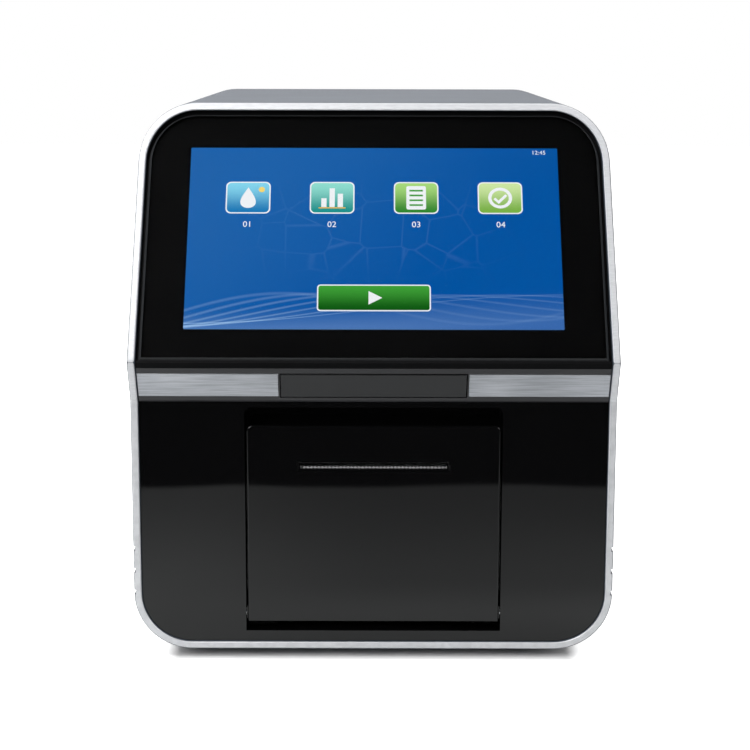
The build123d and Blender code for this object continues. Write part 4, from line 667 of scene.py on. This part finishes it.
strip_metal, place = start_finish("strip_brushed")
strokes = place.speckle(0.00012, stretch=(90, 1, 1), detail=4.0)
streaks = place.speckle(0.0004, stretch=(60, 1, 1), detail=2.0)
sheen = place.speckle(0.03, detail=1.0)
drawn = (strokes * 0.5 + streaks * 0.3 + sheen * 0.2).ease(0.35, 0.65)
end_finish(
    strip_metal,
    Base_Color=drawn.tint((0.32, 0.33, 0.355, 1), (0.6, 0.61, 0.65, 1)),
    Metallic=1.0,
    Roughness=strokes.ease(0.3, 0.7, 0.28, 0.4),
    Normal=strokes.relief(0.00002),
)
dress(strip_metal, "brushed_strips")


# Lower fascia and printer door: high-gloss black mouldings, polished in the tool, with the slightest
# waviness and a few fine hairlines from wiping. The door hangs on two pins and two magnets hold it.
def gloss_black(name):
    """Polished black plastic."""
    material, place = start_finish(name)
    wave = place.speckle(0.05, detail=1.0)
    hair = place.speckle(0.0003, stretch=(1, 1, 30), detail=1.0)
    return end_finish(
        material,
        Base_Color=hair.tint((0.0018, 0.0018, 0.002, 1), (0.0026, 0.0026, 0.0028, 1)),
        Roughness=hair.ease(0.6, 0.85, 0.03, 0.08),
        Normal=wave.relief(0.00013),
    )


def bright_metal(name, dull, bright, roughness, metal=1.0):
    """Bare turned or ground metal with fine drawn-out scratches."""
    material, place = start_finish(name)
    scratch = place.speckle(0.0003, stretch=(8, 1, 1))
    return end_finish(
        material,
        Base_Color=scratch.tint((*dull, 1), (*bright, 1)),
        Metallic=metal,
        Roughness=scratch.ease(0.3, 0.7, roughness - 0.06, roughness + 0.08),
    )


dress(gloss_black("gloss_black"), "lower_fascia", "printer_door")
magnet_nickel = bright_metal("magnet_nickel", (0.6, 0.59, 0.56), (0.78, 0.76, 0.72), 0.2)
dress(magnet_nickel, "door_magnets", "catch_plates")
ground_steel = bright_metal("ground_steel", (0.52, 0.53, 0.55), (0.74, 0.75, 0.77), 0.26)
dress(ground_steel, "door_hinge_pins")

# Tear bar: a strip of spring steel with sheared teeth, set in the slot of the door. The teeth are
# left bright by the shear, so they glint inside the black slot.
dress(bright_metal("sheared_edge", (0.85, 0.85, 0.87), (0.98, 0.98, 0.98), 0.35, 0.4), "tear_bar")

# Label printer behind the door: a black trough with the paper roll, and a plated frame that carries
# the print head, the rubber platen on its steel shaft, and three gears down to a small motor.
black_plastic = moulded("black_plastic", (0.018, 0.018, 0.02), 0.45)
dress(black_plastic, "paper_cradle")
dress(plated, "printer_frame")
dress(ground_steel, "platen_shaft")
dress(moulded("platen_rubber", (0.014, 0.014, 0.014), 0.75, 0.0003, 0.00003), "platen_sleeve")
natural_acetal = moulded("natural_acetal", (0.72, 0.7, 0.62), 0.4)
dress(natural_acetal, "idler_gear")
dress(bright_metal("gear_brass", (0.62, 0.47, 0.2), (0.78, 0.62, 0.3), 0.28), "motor_gear")
motor_can = sheet_steel("motor_can", (0.42, 0.42, 0.43), 0.3, (1, 1, 10))
dress(motor_can, "printer_motor")
head_metal = bright_metal("milled_aluminium", (0.56, 0.56, 0.58), (0.68, 0.68, 0.7), 0.34)
dress(head_metal, "print_head")

label_paper, place = start_finish("label_paper")
roll_low, roll_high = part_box("paper_roll")
roll_middle = (roll_low + roll_high) / 2
half_width = roll_high.x - roll_middle.x
from_axis = {0: place, 1: (0.0, roll_middle.y, roll_middle.z)}
offset = place.node("VectorMath", {"operation": "SUBTRACT"}, from_axis)
flat = offset.node("VectorMath", {"operation": "MULTIPLY"}, {0: offset, 1: (0.0, 1.0, 1.0)})
radius = flat.node("VectorMath", {"operation": "LENGTH"}, {0: flat}, "Value")
layers = (radius * (2 * pi / 0.0005)).sine()
from_middle = abs(place.along((1, 0, 0)) - roll_middle.x)
ends = from_middle.ease(half_width - 0.0002, half_width - 0.0001)
fibre = place.speckle(0.0006, detail=3.0)
end_finish(
    label_paper,
    Base_Color=(layers * ends * 0.5 + 0.5).tint((0.68, 0.67, 0.64, 1), (0.84, 0.84, 0.82, 1)),
    Roughness=0.62,
    Normal=(layers * ends + fibre * 0.3).relief(0.00003),
)
dress(label_paper, "paper_roll")

# Base plate, feet and columns: plated steel base screwed to the sleeve, four rubber feet, and four
# columns that carry the analysis deck.
dress(plated, "base_plate")
dress(moulded("foot_rubber", (0.012, 0.012, 0.012), 0.8, 0.0003, 0.00003), "feet")
dress(ground_steel, "deck_columns")
zinc_screws = bright_metal("zinc_screws", (0.5, 0.51, 0.54), (0.66, 0.67, 0.7), 0.3)
dress(zinc_screws, "foot_screws", "inner_screws", "rear_screws")

# Analysis deck and disc tray: a milled plate with two moulded rails. The black tray slides in them on
# a rack, driven by a pinion, and its grey front closes the mouth in the trim.
dress(head_metal, "analysis_deck")
dress(moulded("rail_acetal", (0.03, 0.03, 0.033), 0.38), "tray_rails")
dress(moulded("tray_black", (0.022, 0.022, 0.025), 0.42), "disc_tray")
dress(moulded("tray_front_grey", (0.012, 0.0125, 0.0135), 0.33, shine=0.4), "tray_front")
dress(natural_acetal, "tray_pinion")
dress(motor_can, "tray_motor")

# Spindle: a carriage that a screw motor lifts on two ground pins, with a flat motor that spins the
# disc on a moulded hub.
dress(head_metal, "spindle_carriage")
dress(ground_steel, "guide_pins", "lift_rod")
dress(motor_can, "spindle_motor", "lift_motor")
dress(natural_acetal, "spindle_hub")

# Optics and chamber lid: the lid covers the disc and carries the clamp, the lamp and the reader. The
# detector sits under the disc. Lamp and detector are black anodised blocks.
dress(black_plastic, "chamber_lid", "barcode_reader")
dress(moulded("anodised_black", (0.02, 0.02, 0.022), 0.4), "lamp_module", "detector_block")
dress(natural_acetal, "disc_clamp")

# Rear panel, fan and sockets: a powder-coated panel on corner blocks, a fan with a wire guard, the
# mains inlet with its pins, a rocker switch, and the network and data sockets on the main board.
dress(head_metal, "corner_blocks")
rear_paint = moulded("rear_powder_coat", (0.055, 0.062, 0.074), 0.6, 0.0006, 0.00006)
dress(rear_paint, "rear_panel")
fan_black = moulded("fan_black", (0.014, 0.014, 0.015), 0.38)
dress(fan_black, "fan_frame", "fan_rotor")
dress(bright_metal("guard_wire", (0.6, 0.6, 0.62), (0.8, 0.8, 0.82), 0.22), "fan_guard")
dress(moulded("inlet_black", (0.012, 0.012, 0.013), 0.34), "mains_inlet", "switch_housing")
dress(moulded("rocker_black", (0.02, 0.02, 0.021), 0.28), "power_rocker")
dress(bright_metal("pin_brass", (0.66, 0.55, 0.32), (0.82, 0.7, 0.44), 0.2), "inlet_pins")
dress(bright_metal("socket_shell", (0.62, 0.62, 0.62), (0.8, 0.8, 0.8), 0.24), "board_sockets")

# Power supply, shelf and main board: a slotted steel box on the base, a folded shelf over it, and the
# coated main board on stand-offs with its chips, headers and small soldered parts.
dress(plated, "board_shelf")
dress(sheet_steel("supply_case", (0.6, 0.6, 0.6), 0.4, (1, 8, 1)), "power_supply")
board_low, board_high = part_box("main_board")
board_thickness = 0.0016
board_top = board_low.z + board_thickness
board_y = (board_low.y + board_high.y) / 2
dress(circuit("main_circuit", (0, 0, 1), board_top, board_high.z), "main_board")
for area, (x, y, columns, rows, width, depth) in enumerate((
    (-0.018, 0.018, 8, 14, 0.022, 0.04),
    (0.020, 0.036, 24, 6, 0.072, 0.014),
    (0.055, -0.012, 5, 16, 0.012, 0.044),
)):
    middle = Matrix.Translation((x, board_y + y, board_top))
    solder_parts(f"main_small_parts_{area + 1}", middle, columns, rows, width, depth, 0.65, 11 + area)

# Camera: at the photograph's place and angle, as its front edges give them. The lens keeps the
# ratio of its focal length to the width of the picture.
picture_width = 750
focal_pixels = 2037.5
camera_data = bpy.data.cameras.new("camera")
camera_data.sensor_width = 36.0
camera_data.lens = camera_data.sensor_width * focal_pixels / picture_width
camera = bpy.data.objects.new("camera", camera_data)
camera.location = (0.0002, -0.96147, 0.254)
camera.rotation_euler = (radians(90 - 9.345), -0.0023, 0)
bpy.context.scene.collection.objects.link(camera)
bpy.context.scene.camera = camera


# Lamps: four soft boxes round the case, one of them overhead on the left. The world stands for the
# room that the glass and the polished plastic mirror, which is dark in front.
def soft_lamp(name, place, aim, width, height, power):
    """A soft box at a place, turned to a point."""
    lamp = bpy.data.lights.new(name, "AREA")
    lamp.shape = "RECTANGLE"
    lamp.size = width
    lamp.size_y = height
    lamp.energy = power
    holder = bpy.data.objects.new(name, lamp)
    holder.location = place
    holder.rotation_euler = (Vector(aim) - Vector(place)).to_track_quat("-Z", "Y").to_euler()
    bpy.context.scene.collection.objects.link(holder)


middle = (0, -0.05, 0.11)
soft_lamp("front_box", (-1.0, -1.4, 0.9), middle, 1.0, 0.8, 15)
soft_lamp("edge_box", (-0.62, -0.3, 1.35), middle, 1.1, 0.35, 14)
soft_lamp("fill_box", (1.5, -0.8, 0.9), middle, 1.0, 1.0, 8)
soft_lamp("back_box", (0.2, 1.6, 1.2), middle, 1.4, 1.0, 10)

surroundings = bpy.data.worlds.new("surroundings")
bpy.context.scene.world = surroundings
surroundings.use_nodes = True
sky = Wire(surroundings.node_tree)
look = sky.node("TexCoord", output="Generated")
rise = look.along((0, 0, 1))
ahead = look.along((0, -1, 0))
open_room = ahead.ease(0.38, 0.1)
ceiling = rise.ease(0.2, 0.9, 0.3, 1.2)
glint = look.along(Vector((-0.58, 0.7, 0.42)).normalized()).ease(0.93, 0.985) * 7.0
mirrored_room = open_room * ceiling + glint
path = sky.node("LightPath", output="Is Camera Ray")
passed = sky.node("LightPath", output="Is Transmission Ray")
glossy = sky.node("LightPath", output="Is Glossy Ray").higher(passed)
strength = path + (1 - path) * (glossy * mirrored_room + (1 - glossy) * 0.5)
background = surroundings.node_tree.nodes["Background"]
surroundings.node_tree.links.new(strength.socket, background.inputs["Strength"])
background.inputs["Color"].default_value = (1, 1, 1, 1)

# Floor: a pale table top. In the case's polished front it ends some way ahead, as the photograph
# shows, and the dark line under the case is its shadow.
floor_mesh = bpy.data.meshes.new("floor")
floor_mesh.from_pydata([(-4, -4, 0), (4, -4, 0), (4, 4, 0), (-4, 4, 0)], [], [(0, 1, 2, 3)])
floor = bpy.data.objects.new("floor", floor_mesh)
bpy.context.scene.collection.objects.link(floor)
table, place = start_finish("pale_table")
front = place.along((0, -1, 0))
side = place.along((1, 0, 0))
seen = place.node("LightPath", output="Is Camera Ray")
mirrored = place.node("LightPath", output="Is Glossy Ray")
edge_wave = place.speckle(0.06, detail=0.0) * 0.012
# Painted reflection: in reflections only, the floor turns black beyond a wavy line some way ahead.
# Before that line it carries painted shade, darker farther ahead and on the right.
far = (front + edge_wave).ease(0.391, 0.403)
painted_shade_right = side.ease(-0.1, 0.01, 0.0, 0.28) * front.ease(0.19, 0.24)
shade = front.ease(0.19, 0.39, 1.0, 0.5) * (1 - painted_shade_right)
pale = shade.tint((0, 0, 0, 1), (0.68, 0.7, 0.7, 1))
# Painted light: to the camera the floor glows white outside the case's footprint, which paints out the
# case's shadow there. The real shadow shows only under the case.
outside = (abs(side) - 0.08).higher(abs(place.along((0, 1, 0))) - 0.1425)
end_finish(
    table,
    Base_Color=mirrored.tint((0.82, 0.82, 0.82, 1), far.tint(pale, (0.003, 0.003, 0.003, 1))),
    Roughness=0.9,
    Specular_IOR_Level=0.0,
    Emission_Color=(seen * outside.ease(0.0, 0.009) * 0.9).tint((0, 0, 0, 1), (1, 1, 1, 1)),
    Emission_Strength=1.0,
)
floor_mesh.materials.append(table)

bpy.context.scene.view_settings.view_transform = "Standard"
